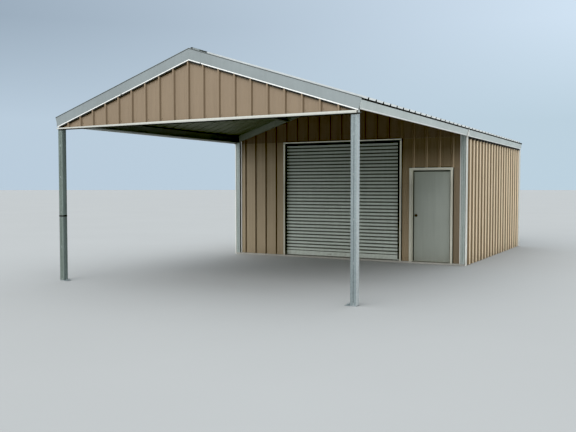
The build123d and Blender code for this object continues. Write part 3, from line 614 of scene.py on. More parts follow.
def ribbed(b, a0, a1, ribs, place, ends, mats=(0, 1, 0), thick=0.0009, out=T, first=0, tint=0.025, lap=0.0013, part=rib_part):
    """place(a, b, c) gives the point; ends(a) gives both ends c of the sheet at a."""
    for s, e, inside, left in lengths(a0, a1, ribs, first=first):
        path = []
        for p in sheet_path(s, e, inside):
            raise_ = 0.0
            if left is not None and p[0] < left + RB + 0.012:
                raise_ = lap
            path.append((p[0], p[1] + out + raise_) + tuple(p[2:]))
        path = rounded(path, 0.004, 2)
        if s < 0 < e:                      # a point at the ridge
            k = next(i for i, p in enumerate(path) if p[0] > 0)
            (xa, ya), (xb, yb) = path[k - 1], path[k]
            if abs(xa) > 1e-6 and xb - xa > 1e-6:
                path.insert(k, (0.0, ya + (yb - ya) * (-xa) / (xb - xa)))
        inner = offset(path, -thick)
        b.ribbon(path, inner, lambda a, o: place(a, o, ends(a)[0]), lambda a, o: place(a, o, ends(a)[1]), mats,
                 tint=rnd.uniform(-tint, tint), seg=part)


# ---- front gable
b = Build()
gable_ribs = [k * RIB + FACE_RIB for k in range(-9, 10)]
ribbed(b, -3.046, 3.002, gable_ribs, lambda a, o, c: (a, FRONT - o, c), lambda a: (HEADER_Z - 0.003, roof_z(a, T + 0.001)), first=2, out=T - 0.0015)
# both flanks of each rib take the darker flank paint: painted shade
b.object("gable_sheets", [TAN, BACK, TAN_FLANK], replaces=["front_gable_panel"])

# ---- shed walls
SIDE_RIBS = rib_list(SHED + T, REAR - T, WALL_RIB_Y)
WALL_TOP = roof_z(HALF + RIB_H + T, T) - 0.002
for side, name in ((1, "right"), (-1, "left")):
    b = Build()
    ribbed(b, SHED + T, REAR - T, SIDE_RIBS, lambda a, o, c: (side * (HALF + o), a, c), lambda a: (0.005, WALL_TOP), first=2, part=rib_front)
    # front rib flanks: painted light on the right wall, painted shade on the left
    b.object(name + "_wall_sheets", [TAN_SIDE, BACK, TAN_SIDE_FLANK] if side > 0 else [TAN, BACK, TAN_FLANK], replaces=[name + "_wall"])
b = Build()
REAR_RIBS = rib_list(-HALF, HALF, 0.0)
ribbed(b, -HALF + T, HALF - T, REAR_RIBS, lambda a, o, c: (a, REAR + o, c), lambda a: (0.005, roof_z(a, T + 0.001)), first=1)
# both flanks of each rib take the darker flank paint: painted shade
b.object("rear_wall_sheets", [TAN, BACK, TAN_FLANK], replaces=["rear_wall"])

# ---- shed front
INNER = HALF - POST - 0.002
GABLE_Z0 = ROLL_TOP + TRIM_W + 0.001
UNDER = 0.152 + T + 0.002


def front_ribs(x0, x1):
    return [k * RIB + FACE_RIB for k in range(-10, 11) if x0 + RB + 0.003 < k * RIB + FACE_RIB < x1 - RB - 0.003]


def front_piece(name, node, x0, x1, z0, z1, sloped=False, mats=(TAN_PAINTED_ROOF_SHADE, TAN_PAINTED_ROOF_SHADE_FLANK)):
    b = Build()
    # flanks right of x = 1.5 take the light flank paint, painted light from the right opening; the others take the
    # piece's own flank paint
    ribbed(b, x0, x1, front_ribs(x0, x1), lambda a, o, c: (a, WALL_Y - o, c),
           lambda a: (z0, min(z1, roof_z(a, UNDER)) if sloped else z1), tint=0.02,
           part=lambda p, q: (3 if p[0] > 1.5 else 2) if rib_part(p, q) else 0)
    b.object(name, [mats[0], BACK, mats[1], TAN_DIM_FLANK], replaces=[node])


WZ0 = SLAB + 0.002
DIM = (TAN_DIM, TAN_DIM_FLANK)
front_piece("shed_front_sheets_left", "shed_front_wall_left", -INNER, ROLL_X0 - TRIM_W - 0.001, WZ0, GABLE_Z0 - 0.001, True)
front_piece("shed_front_sheets_middle", "shed_front_wall_middle", ROLL_X1 + TRIM_W + 0.001, DOOR_X0 - DOOR_FACE - 0.001, WZ0, DOOR_TOP + DOOR_FACE, mats=DIM)
front_piece("shed_front_sheets_right", "shed_front_wall_right", DOOR_X1 + DOOR_FACE + 0.001, INNER, WZ0, DOOR_TOP + DOOR_FACE, mats=(TAN_RIGHT, TAN_DIM_FLANK))
front_piece("shed_front_sheets_over_door", "shed_front_wall_over_door", ROLL_X1 + TRIM_W + 0.001, INNER, DOOR_TOP + DOOR_FACE + 0.001, GABLE_Z0 - 0.001, True, mats=DIM)
front_piece("shed_front_sheets_gable", "shed_front_gable", -INNER, INNER, GABLE_Z0, 4.2, True, mats=(TAN_UPPER, TAN_UPPER_FLANK))

# dark strips round both openings, painted shadow beside the trims; light folded edge strips beside the corner posts,
# painted highlight
b = Build()
GAP = 0.014
ya, yb = WALL_Y - T - 0.0048, WALL_Y - T - 0.0003
for x0, x1, top in ((ROLL_X0 - TRIM_W, ROLL_X1 + TRIM_W, ROLL_TOP + TRIM_W), (DOOR_X0 - DOOR_FACE, DOOR_X1 + DOOR_FACE, DOOR_TOP + DOOR_FACE)):
    b.box(x0 - GAP, x0 - 0.0012, ya, yb, WZ0 + 0.004, top + GAP, r=0.0008)
    b.box(x1 + 0.0012, x1 + GAP, ya, yb, WZ0 + 0.004, top + GAP, r=0.0008)
    b.box(x0, x1, ya, yb, top + 0.0016, top + GAP, r=0.0008)
for side in (-1, 1):
    xs = sorted((side * (INNER - 0.032), side * (INNER - 0.0015)))
    b.box(xs[0], xs[1], WALL_Y - T - 0.0120, WALL_Y - T - 0.0006, WZ0 + 0.002, roof_z(INNER - 0.030, UNDER) - 0.002, mat=1, r=0.0012)
b.object("opening_painted_shadow_and_edge_strips", [RUBBER, LIP])

# ---- roof
ROOF_Y0, ROOF_Y1 = Y0 + 0.008, Y1 - 0.008
ROOF_RIBS = [c for c in rib_list(ROOF_Y0, ROOF_Y1, RIB_Y) if Y0 + 0.12 < c < Y1 - 0.12]
S0, S1 = 0.016, ROOF_HALF / COS


def on_roof(side, y, up, s):
    """A point s down the slope from the ridge, up square to the slope from the sheet's inner face."""
    return Vector((side * (s * COS + (up - T) * SIN), y, APEX - s * SIN + (up - T) * COS))


for side, name in ((1, "right"), (-1, "left")):
    b = Build()
    ribbed(b, ROOF_Y0, ROOF_Y1, ROOF_RIBS, lambda a, o, c: on_roof(side, a, o, c), lambda a: (S0, S1), mats=(0, 1, 0), first=1, tint=0.03, part=None)
    b.object("roof_sheets_" + name, [ROOF, SOFFIT], replaces=["roof_panel_" + name])

# closures in the rib ends and under the ridge cap
b = Build()
for side in (-1, 1):
    for c in ROOF_RIBS:
        o = [(c - RB + 0.003, T - 0.0012), (c - RT + 0.0005, T + RIB_H - 0.0012), (c + RT - 0.0005, T + RIB_H - 0.0012), (c + RB - 0.003, T - 0.0012)]
        b.prism(o, lambda a, u: on_roof(side, a, u, S1 - 0.006), lambda a, u: on_roof(side, a, u, S1 - 0.030))
        o = [(c - RB + 0.002, T - 0.0020), (c - RT - 0.001, T + RIB_H + 0.0004), (c + RT + 0.001, T + RIB_H + 0.0004), (c + RB - 0.002, T - 0.0020)]
        b.prism(o, lambda a, u: on_roof(side, a, u, S1 + 0.0016), lambda a, u: on_roof(side, a, u, S1 + 0.0004))
    ys = [ROOF_RIBS[0] - RIB] + ROOF_RIBS + [ROOF_RIBS[-1] + RIB]
    for ca, cb in zip(ys, ys[1:]):
        a0, a1 = max(ca, Y0 + 0.08 - RB), min(cb, Y1 - 0.08 + RB)
        o = [(a0 + RB, T), (a0 + RT + 0.001, T + RIB_H - 0.001), (a1 - RT - 0.001, T + RIB_H - 0.001), (a1 - RB, T)]
        b.prism(o, lambda a, u: on_roof(side, a, u, 0.168), lambda a, u: on_roof(side, a, u, 0.192), 1)
b.object("foam_closures", [RUBBER, GALV_DARK])

# ridge cap on the rib crests, with hemmed edges
CAP_Z = APEX + (RIB_H + 0.0005) / COS
CAP_TOP = CAP_Z + 0.0022
CH = 0.205
b = Build()
cap = rounded([(-CH + 0.012, CAP_TOP - (CH - 0.012) * PITCH - 0.0012, 0), (-CH, CAP_TOP - CH * PITCH - 0.0030, 0.001), (-CH + 0.0004, CAP_TOP - CH * PITCH - 0.0004, 0.0008),
               (-0.035, CAP_TOP - 0.035 * PITCH, 0.002), (-0.030, CAP_TOP - 0.0292 * PITCH, 0.002), (0, CAP_TOP, 0.030), (0.030, CAP_TOP - 0.0292 * PITCH, 0.002),
               (0.035, CAP_TOP - 0.035 * PITCH, 0.002), (CH - 0.0004, CAP_TOP - CH * PITCH - 0.0004, 0.0008), (CH, CAP_TOP - CH * PITCH - 0.0030, 0.001)], 0.002, 3)
CAP_Y = (Y0 + 0.085, Y1 - 0.085)
joints = [CAP_Y[0]] + [CAP_Y[0] + k * (CAP_Y[1] - CAP_Y[0]) / 4 for k in (1, 2, 3)] + [CAP_Y[1]]
for i in range(4):
    lift = 0.0 if i % 2 == 0 else 0.0012
    ya, yb = joints[i] - (0.05 if i else 0), joints[i + 1] + (0.05 if i < 3 else 0)
    path = [(x, z + (lift - 0.0012)) for x, z in cap]
    b.ribbon(path, offset(path, -0.0008), lambda x, z: (x, ya, z), lambda x, z: (x, yb, z), tint=rnd.uniform(-0.03, 0.03))
for side in (-1, 1):
    for ca, cb in ((Y0 + 0.0852, Y0 + 0.0864), (Y1 - 0.0864, Y1 - 0.0852)):
        o = [(ca, T + 0.0105), (cb, T + 0.0105), (cb, T + RIB_H - 0.0012), (ca, T + RIB_H - 0.0012)]
        b.prism(o, lambda a, u: on_roof(side, a, u, 0.014), lambda a, u: on_roof(side, a, u, 0.203), 1)
b.object("ridge_cap_lengths", [ROOF, RAKE_TRIM], replaces=["ridge_cap"])

# ---- roof screws
b = Build()
for side in (-1, 1):
    n = Vector((side * SIN, 0, COS))
    for i, c in enumerate(ROOF_RIBS):
        for s in (0.235 / COS, 0.80 / COS, 1.524 / COS, 2.25 / COS, 2.985 / COS):
            lap = i % 3 == 1
            for dy in ((0.046, -0.046) if s > 2.9 else (0.046,)):
                screw(b, on_roof(side, c + dy + rnd.uniform(-0.003, 0.003), T, s + rnd.uniform(-0.005, 0.005)), n)
        screw(b, Vector((side * 0.17, c, CAP_TOP - 0.17 * PITCH)) - n * 0.0009, n, k=0.7, washer=False)
b.object("roof_screws", [ROOF, RUBBER])

# ---- wall screws
b = Build()
for side in (-1, 1):
    for c in SIDE_RIBS:
        for z in (0.085, 0.945, 1.865, 2.860):
            screw(b, (side * (HALF + T), c + 0.047 + rnd.uniform(-0.002, 0.002), z + rnd.uniform(-0.003, 0.003)), (side, 0, 0))
for c in REAR_RIBS:
    for z in (0.085, 0.945, 1.865, 2.785, roof_z(c, 0) - 0.085):
        screw(b, (c + 0.047, REAR + T, z + rnd.uniform(-0.003, 0.003)), (0, 1, 0))
for c in front_ribs(-INNER, INNER):
    x = c + 0.047
    if x < INNER - 0.02:
        for z in (2.925, roof_z(x, UNDER) - 0.035):
            if z < roof_z(x, UNDER) - 0.02:
                screw(b, (x, WALL_Y - T, z + rnd.uniform(-0.002, 0.002)), (0, -1, 0))
        if x < ROLL_X0 - TRIM_W - 0.01:
            for z in (0.10, 0.945, 1.865, 2.82):
                screw(b, (x, WALL_Y - T, z), (0, -1, 0))
        if ROLL_X1 + TRIM_W + 0.02 < x:
            screw(b, (x, WALL_Y - T, 2.235), (0, -1, 0))
            screw(b, (x, WALL_Y - T, 2.82), (0, -1, 0))
for x in (1.60, 1.66, 2.80, 2.86):
    for z in (0.12, 0.92, 1.84):
        screw(b, (x, WALL_Y - T, z), (0, -1, 0))
for c in gable_ribs:
    z = HEADER_Z + 0.080
    if z < roof_z(c + 0.047, 0.19) - 0.02:
        screw(b, (c + 0.047, FRONT - T, z + rnd.uniform(-0.002, 0.002)), (0, -1, 0))
b.object("wall_screws", [TAN_SCREW, RUBBER])


# ------------------------------------------------------------------ trims
def rake_path(lift=0.0):
    """From the flange's rear edge on the roof, over the nose and its groove, down the face, round the hem."""
    return [(0.100, RAKE_TOP + lift), (0.0006, RAKE_TOP + lift, 0.0015), (0.0004, RAKE_TOP - 0.0062, 0.0012), (0.0078 - lift, RAKE_TOP - 0.0075, 0.0010),
            (0.0078 - lift, RAKE_TOP - 0.0165, 0.0010), (0.0046 - lift, RAKE_TOP - 0.0180, 0.0010),
            (0.0060 - lift, RAKE_BOTTOM + 0.0200, 0.002), (0.0004, RAKE_BOTTOM + 0.0160, 0.0015), (0.0004, RAKE_BOTTOM + 0.0002, 0.0010), (0.0030, RAKE_BOTTOM + 0.0002, 0.0010),
            (0.0030, RAKE_BOTTOM + 0.0075)]


def rake_piece(b, side, front, s0, s1, lift, tint, square0=False):
    """One length of rake trim between the plumb cut at s0 (or the ridge) and s1."""
    path = rounded([p for p in rake_path(lift)], 0.001, 2)
    split = [i for i, p in enumerate(path) if p[1] < RAKE_BOTTOM + 0.0185][0]

    def at(a, up, s):
        y = Y0 + a if front else Y1 - a
        return Vector((side * (s * COS + up * SIN), y, APEX - s * SIN + up * COS))

    def start(a, up):
        if s0 is None:                       # mitred at the ridge
            s = -up * SIN / COS
            p = at(a, up, s)
            p.x = 0.0003 * side
            return p
        if s0 < 0:                           # wraps over the ridge, the far end plumb
            return at(a, up, 0)
        s = (s0 - up * SIN) / COS
        return at(a, up, s)

    def end(a, up):
        return at(a, up, s1) if s1 > 3.0 else at(a, up, (s1 - up * SIN) / COS)
    up_part, low_part = path[:split + 1], path[split:]
    b.ribbon(up_part, offset(up_part, 0.0010), start, end, (0, 0, 0), tint,
             seg=lambda p, q: 2 if p[0] > 0.0060 and q[0] < 0.05 and RAKE_TOP - 0.0180 < (p[1] + q[1]) / 2 < RAKE_TOP - 0.0060 else 0)
    # the hem takes the near-white paint: painted highlight
    b.ribbon(low_part, offset(low_part, 0.0009), start, end, (1, 0, 1), tint)


SE = ROOF_HALF / COS + 0.001
for side, node in ((-1, "front_rake_left"), (1, "front_rake_right")):
    b = Build()
    if side < 0:
        rake_piece(b, side, True, None, 1.480, 0.0, 0.010)
        rake_piece(b, side, True, 1.455, SE, -0.0012, -0.012)
    else:
        rake_piece(b, side, True, None, 0.245, 0.0, -0.006)
        rake_piece(b, side, True, 0.225, SE, -0.0012, 0.010)
    b.object(node + "_trim", [RAKE_TRIM, LIP, GROOVE], replaces=[node])
b = Build()
for side in (-1, 1):
    rake_piece(b, side, False, None, 1.62, 0.0, 0.008)
    rake_piece(b, side, False, 1.60, SE, -0.0012, -0.010)
b.object("rear_rake_trims", [RAKE_TRIM, LIP, GROOVE], replaces=["rear_rakes"])

EAVE_LAP = Y0 + 6.082
EAVES = ((Y0 + 0.007, EAVE_LAP - 0.0005, 3.050, 2.889, 3.078, 3.034), (EAVE_LAP + 0.0005, Y1 - 0.007, 3.060, 2.881, 3.082, 3.032))
for side, name in ((1, "right"), (-1, "left")):
    b = Build()
    for ya, yb, fx, fz, tx, tz in EAVES:
        up_part = rounded([(tx - 0.024, tz), (tx - 0.0015, tz - 0.0068, 0.0025), (fx + 0.0035, fz + 0.0225, 0.0015)], 0.002, 3)
        low_part = rounded([(fx + 0.0035, fz + 0.0225), (fx + 0.0088, fz + 0.0145, 0.002), (fx + 0.0088, fz + 0.0003, 0.0012), (fx + 0.0015, fz + 0.0003, 0.0012), (fx + 0.0015, fz + 0.010)], 0.002, 3)
        cuts = [ya, (ya + yb) / 2 + 0.3, yb]
        for i in range(2):
            dx = 0.0 if i == 0 else -0.0011
            a, c = cuts[i] - (0.03 if i else 0), cuts[i + 1]
            if side < 0:
                dx = -dx if i else 0.0
                dx = min(dx, 0.0)
            f0 = lambda x, z: (side * (x + dx), a, z)
            f1 = lambda x, z: (side * (x + dx), c, z)
            t = rnd.uniform(-0.02, 0.02)
            b.ribbon(up_part, offset(up_part, -0.0010), f0, f1, (0, 0, 0), t)
            # the lower lip takes the near-white paint: painted highlight
            b.ribbon(low_part, offset(low_part, -0.0009), f0, f1, (1, 0, 1), t)
    b.object("eave_trim_lengths_" + name, [TRIM, LIP], replaces=["eave_trims_" + name])

# base trim of the gable sheet
b = Build()
path = rounded([(FRONT - 0.001, HEADER_Z - 0.0030), (Y0 + 0.0015, HEADER_Z - 0.0030, 0.0012), (Y0 + 0.0015, HEADER_Z + 0.0190, 0.001), (Y0 + 0.0050, HEADER_Z + 0.0220, 0.001),
                (Y0 + 0.0055, HEADER_Z + 0.0370, 0.001), (Y0 + 0.0072, HEADER_Z + 0.0370, 0.0006), (Y0 + 0.0072, HEADER_Z + 0.030)], 0.001, 2)
for xa, xb, t in ((-3.060, 0.012, 0.01), (-0.012, 3.006, -0.01)):
    lift = 0.0 if xa < -1 else 0.0009

    def clip(x, y, z):
        top = roof_z(x, -RAKE_BOTTOM + 0.001)
        return (x, y + lift, min(z, top))
    # the lower part of the trim takes the near-white paint: painted highlight
    b.ribbon(path, offset(path, 0.0009), lambda y, z: clip(xa, y, z), lambda y, z: clip(xb, y, z), (0, 0, 0), t, steps=40,
             seg=lambda p, q: 1 if (p[1] + q[1]) / 2 < HEADER_Z + 0.0205 else 0)
# a black strip under the trim: painted shadow
b.box(-3.040, 3.0405, FRONT - 0.0052, FRONT - 0.0032, HEADER_Z - 0.0220, HEADER_Z - 0.0034, mat=2, r=0.0006)
b.object("gable_base_trim_lengths", [BASE_TRIM, LIP, RUBBER], replaces=["gable_base_trim"])

# corner trims
CORNER_X = HALF + RIB_H + T + 0.001
b = Build()
for side in (-1, 1):
    path = rounded([(HALF + 0.0005, SHED + 0.004), (HALF + 0.0005, SHED - 0.0018, 0.0008), (CORNER_X + 0.0018, SHED - 0.0018, 0.003), (CORNER_X + 0.0018, SHED + 0.050, 0.0008),
                    (CORNER_X - 0.0004, SHED + 0.050)], 0.001, 3)
    b.ribbon(path, offset(path, 0.0009), lambda x, y: (side * x, y, 0.005), lambda x, y: (side * x, y, 2.880))
    yb = REAR + RIB_H + T + 0.001
    path = rounded([(HALF - 0.040, yb - 0.0012), (HALF - 0.040, yb + 0.0018, 0.0006), (CORNER_X + 0.0018, yb + 0.0018, 0.003), (CORNER_X + 0.0018, REAR - 0.105, 0.0010), (HALF + T + 0.0012, REAR - 0.105)], 0.001, 3)
    b.ribbon(path, offset(path, -0.0009), lambda x, y: (side * x, y, 0.005), lambda x, y: (side * x, y, min(2.880, roof_z(x, -RAKE_BOTTOM + 0.001))))
b.object("corner_trim_lengths", [CORNER], replaces=["corner_trims"])

# dark foam closures between the ribs, under the rakes' hems and the rear ones; their black also stands in for the
# shadow under the hems: painted shadow
b = Build()
for front, ribs, half in ((True, gable_ribs, 2.97), (False, REAR_RIBS, 2.97)):
    cuts = [-half] + [c for c in ribs if abs(c) < half] + [half]
    face_y = FRONT - T if front else REAR + T
    d = -1 if front else 1
    for ca, cb in zip(cuts, cuts[1:]):
        xa = ca + RB if ca > -half else ca
        xb = cb - RB if cb < half else cb
        ta = ca + RT + 0.001 if ca > -half else ca
        tb = cb - RT - 0.001 if cb < half else cb
        depth = 0.0310
        low, high = -RAKE_BOTTOM + 0.0250, -RAKE_BOTTOM - 0.012
        pts = []
        for drop in (low, high):
            for x, o in ((xa, 0.0), (ta, depth), (tb, depth), (xb, 0.0)):
                pts.append((x, face_y + d * o, roof_z(x, drop)))
        b.add(pts, [(3, 2, 1, 0), (4, 5, 6, 7), (0, 1, 5, 4), (1, 2, 6, 5), (2, 3, 7, 6), (3, 0, 4, 7)])
b.object("gable_closures_and_painted_shadow", [RUBBER])

# dark strips between roof sheets and eave trims, over the side walls and beside the corner posts: partly foam closures,
# partly painted shadow under the trims and beside the posts
b = Build()
for side in (-1, 1):
    for ya, yb in ((Y0 + 0.102, EAVE_LAP - 0.002), (EAVE_LAP + 0.002, Y1 - 0.102)):
        zt = roof_z(3.0755, 0) - 0.0012
        o = [(3.064, 3.0315), (3.0755, 3.0288), (3.0755, zt), (3.064, zt + 0.0115 * PITCH)]
        b.prism(o, lambda x, z: (side * x, ya, z), lambda x, z: (side * x, yb, z))
    cuts = [SHED + 0.052] + list(SIDE_RIBS) + [REAR - 0.052]
    for i, (ca, cb) in enumerate(zip(cuts, cuts[1:])):
        ya = ca + RB if i else ca
        yb = cb - RB if i < len(cuts) - 2 else cb
        ta = ca + RT + 0.001 if i else ca
        tb = cb - RT - 0.001 if i < len(cuts) - 2 else cb
        pts = [(side * (HALF + T + o), y, z) for z in (2.836, 2.884) for y, o in ((ya, 0.0002), (ta, 0.0300), (tb, 0.0300), (yb, 0.0002))]
        b.add(pts, [(3, 2, 1, 0), (4, 5, 6, 7), (0, 1, 5, 4), (1, 2, 6, 5), (2, 3, 7, 6), (3, 0, 4, 7)])
    xs = sorted((side * (HALF + T + RIB_H + 0.0003), side * (HALF + T + RIB_H + 0.0015)))
    b.box(xs[0], xs[1], SHED + 0.056, REAR - 0.080, 2.858, 2.880, r=0.0004)
    xs = sorted((side * (HALF - 0.0005), side * (HALF + 0.0075)))
    b.box(xs[0], xs[1], SHED - 0.0024, SHED + 0.003, 0.02, 2.878, r=0.0008)
b.object("eave_closures_and_painted_shadow", [RUBBER])

# dark strips where the eave trims lap: painted shadow of the step between them
b = Build()
fx, fz, tx, tz = EAVES[0][2:]
for side in (-1, 1):
    face = rounded([(tx + 0.0004, tz - 0.0090), (fx + 0.0052, fz + 0.0230, 0.001), (fx + 0.0098, fz + 0.0145, 0.001), (fx + 0.0098, fz + 0.0015)], 0.001, 2)
    b.ribbon(face, offset(face, -0.0006), lambda x, z: (side * x, EAVE_LAP - 0.014, z), lambda x, z: (side * x, EAVE_LAP - 0.001, z))
b.object("eave_lap_painted_shadow", [GROOVE])

# cover strips over those laps, in line with the corner trims
b = Build()
for side in (-1, 1):
    # a near-white edge on each cover: painted highlight
    for ya, yb, mat in ((EAVE_LAP - 0.0045, EAVE_LAP - 0.0030, 0), (EAVE_LAP - 0.0029, EAVE_LAP + 0.0400, 1)):
        xs = sorted((side * 3.0560, side * 3.0935))
        b.box(xs[0], xs[1], ya, yb, 2.8812, 3.0290, mat=mat, r=0.0006)
b.object("eave_lap_covers", [LIP, TRIM])

# a plate on the header's right end
b = Build()
# the plate takes the lighter galvanised: painted highlight
b.box(3.0025, 3.0405, FRONT - 0.0030, FRONT - 0.0003, HEADER_Z + 0.0005, 2.900, r=0.0006)
b.object("header_end_plate", [GALV_BRIGHT])

# trim screws along the rakes
b = Build()
for front, ys in ((True, -1), (False, 1)):
    for side in (-1, 1):
        s = 0.40
        while s < 3.15:
            y = Y0 + 0.055 if front else Y1 - 0.055
            screw(b, Vector((side * (s * COS + RAKE_TOP * SIN), y, APEX - s * SIN + (RAKE_TOP) * COS)), (side * SIN, 0, COS), k=0.9)
            s += 0.61
b.object("trim_screws", [TRIM, RUBBER])


# ------------------------------------------------------------------ steel sections
def c_path(depth, flange, lip, r=0.005):
    """Outer face of a lipped C, web on 0, opening towards +u: (u, v)."""
    return rounded([(flange, lip), (flange, 0, r), (0, 0, r), (0, depth, r), (flange, depth, r), (flange, depth - lip)], r, 3)


def boxed(b, x, y, z0, z1, gap=0.0012, web=0):
    """Two lipped C sections toe to toe, their rounded lips making a groove up the middle."""
    half = POST / 2
    for side in (-1, 1):
        path = [(x + side * (half - u * (half - gap) / 0.0508), y + v) for u, v in c_path(POST, 0.0508, 0.018, 0.0058)]
        b.ribbon(path, offset(path, -0.0025 if side < 0 else 0.0025), lambda px, py: (px, py, z0), lambda px, py: (px, py, z1), tint=0.02 * side,
                 seg=(lambda p, q: 1 if min(p[0], q[0]) > x + half - 0.004 else 0) if web == side else None)


def bead(b, x, y, z0, z1, w=0.0045, out=-1):
    """A stitch weld: a row of overlapping ripples."""
    n = max(3, int((z1 - z0) / 0.004))
    pts = 7
    verts, faces = [], []
    for i in range(n + 1):
        k = 0.72 + 0.28 * abs(math.sin(i * 1.57)) if 0 < i < n else 0.35
        for j in range(pts):
            a = math.pi * j / (pts - 1)
            verts.append((x + w * k * math.cos(a) + 0.0006 * math.sin(i * 2.1), y + out * w * 0.55 * k * math.sin(a) - out * 0.0018, z0 + (z1 - z0) * i / n))
    for i in range(n):
        for j in range(pts - 1):
            faces.append((i * pts + j, i * pts + j + 1, (i + 1) * pts + j + 1, (i + 1) * pts + j))
        faces.append((i * pts + pts - 1, i * pts, (i + 1) * pts, (i + 1) * pts + pts - 1))
    faces.append(tuple(range(pts))[::-1])
    faces.append(tuple(range(n * pts, (n + 1) * pts)))
    b.add(verts, faces)


for x, node in ((-3.013, "front_post_left"), (2.948, "front_post_right")):
    b = Build()
    boxed(b, x, FRONT, 0.008, HEADER_Z, web=1)
    # side webs: the right post's painted highlight, the left post's painted shade
    b.object(node + "_sections", [GALV_LEFT if x < 0 else GALV, GALV_LEFT_WEB if x < 0 else GALV_BRIGHT], replaces=[node])
b = Build()
for side in (-1, 1):
    for y in (SHED, REAR - POST):
        boxed(b, side * (HALF - POST / 2), y, SLAB, EAVE_Z, web=1 if side < 0 and y == SHED else 0)
# the front left corner post's side web takes the groove's painted shade
b.object("shed_corner_post_sections", [GALV_SHED, GROOVE], replaces=["shed_corner_posts"])
b = Build()
for x in (-3.013, 2.948):
    for z in (0.012, 0.62, 1.27, 1.93, 2.52, 2.79):
        bead(b, x, FRONT + 0.0018, z, z + rnd.uniform(0.028, 0.045))
        bead(b, x, FRONT + POST - 0.0018, z, z + rnd.uniform(0.028, 0.045), out=1)
for side in (-1, 1):
    for z in (0.05, 0.95, 1.85, 2.70):
        bead(b, side * (HALF - POST / 2), SHED + 0.0018, z, z + 0.036)
for px in [2.948 - 0.036 + 0.006 * i for i in range(13)]:
    bead(b, px, FRONT + 0.0012, 2.706, 2.713, w=0.0042)
b.object("post_welds", [WELD])

# header with its rounded bends
b = Build()
path = [(FRONT + u, HEADER_Z + v) for u, v in c_path(0.152, 0.064, 0.020)]
b.ribbon(path, offset(path, -0.0028), lambda y, z: (-3.040, y, z), lambda y, z: (3.040, y, z))
b.object("front_header_section", [GALV_DARK], replaces=["front_header"])

# clips that hold the purlins to the rafters, with two bolts each
b = Build()


def hexbolt(b, pos, nrm, mat=0, k=1.0):
    u, v, n = frames(nrm)
    p = Vector(pos) - n * 0.0004
    b.lathe([(0.0125 * k, 0), (0.0125 * k, 0.0022 * k), (0.0118 * k, 0.0026 * k)], lambda x, y, h: p + u * x + v * y + n * h, 14, mat)
    for r0, z0, z1, seg in ((0.0100, 0.0026, 0.0095, 6),):
        b.lathe([(r0 * k, z0 * k), (r0 * k, (z1 - 0.0012) * k), (r0 * 0.86 * k, z1 * k)], lambda x, y, h: p + u * x + v * y + n * h, seg, mat)


CLIP_ENDS = ((FRONT + 0.066, 1), (SHED - 0.002, -1), (SHED + 0.066, 1), (REAR - 0.066, -1))
for ye, d in CLIP_ENDS:
    for side in (-1, 1):
        s = 1.524 / COS + 0.036
        y_a, y_b = (ye, ye + d * 0.075)
        for up0, up1 in ((-0.125, -0.030),):
            o = [(s, up0), (s + 0.004, up0), (s + 0.004, up1), (s, up1)]
            b.prism(o, lambda ss, up: on_roof(side, y_a, up, ss), lambda ss, up: on_roof(side, y_b, up, ss))
            for up in (-0.105, -0.050):
                hexbolt(b, on_roof(side, ye + d * 0.045, up, s + 0.004), (side * COS, 0, -SIN), k=0.9)
b.object("purlin_clips", [GALV_DARK])

# base plates keep their place; a weld runs round each post's foot
b = Build()
for x in (-3.013, 2.948):
    h = POST / 2
    ring = rounded([(x, FRONT), (x - h, FRONT), (x - h, FRONT + POST), (x + h, FRONT + POST), (x + h, FRONT), (x, FRONT)], 0.006, 4)[:-1]
    n = len(ring)
    cx, cy = x, FRONT + POST / 2
    verts = []
    for i, (px, py) in enumerate(ring):
        verts += [(px, py, 0.0075), (px, py, 0.0145), (px, py, 0.0100)]
    loops = []
    for px, py in ring:
        dx, dy = px - cx, py - cy
        m = max(abs(dx), abs(dy))
        on_edge_x = abs(dx) > POST / 2 - 0.012 and (dx < 0) == (x < 0)
        e = 0.0005 if (on_edge_x or abs(dy) > POST / 2 - 0.012) else 0.006
        loops.append((cx + dx * (1 + e / m), cy + dy * (1 + e / m)))
    v2 = [(px, py, 0.0078) for px, py in loops] + [(px - (px - cx) * 0.02, py - (py - cy) * 0.02, 0.0145) for px, py in ring] + [(px - (px - cx) * 0.06, py - (py - cy) * 0.06, 0.0078) for px, py in ring]
    faces = []
    for i in range(n):
        j = (i + 1) % n
        faces += [(i, j, n + j, n + i), (n + i, n + j, 2 * n + j, 2 * n + i), (2 * n + i, 2 * n + j, j, i)]
    b.add(v2, faces)
b.object("post_foot_welds", [WELD])

# ------------------------------------------------------------------ strap on the left post
b = Build()
h = POST / 2 + 0.0022
x, y = -3.013, FRONT + POST / 2
ring = rounded([(x, y - h), (x - h, y - h), (x - h, y + h), (x + h, y + h), (x + h, y - h), (x, y - h)], 0.007, 4)[:-1]
n = len(ring)
verts, faces = [], []
levels = [(1.2055, 0.0), (1.2060, 0.0012), (1.2190, 0.0018), (1.2320, 0.0012), (1.2325, 0.0), (1.2325, -0.0018), (1.2055, -0.0018)]
for z, d in levels:
    for px, py in ring:
        k = math.hypot(px - x, py - y)
        verts.append((px + (px - x) / k * (d - 0.0008), py + (py - y) / k * (d - 0.0008), z + 0.0015 * math.sin(px * 40 + py * 25)))
m = len(levels)
for i in range(m):
    for j in range(n):
        i2, j2 = (i + 1) % m, (j + 1) % n
        faces.append((i * n + j, i * n + j2, i2 * n + j2, i2 * n + j))
b.add(verts, faces)
b.object("strap_band", [STRAP], replaces=["post_strap"])

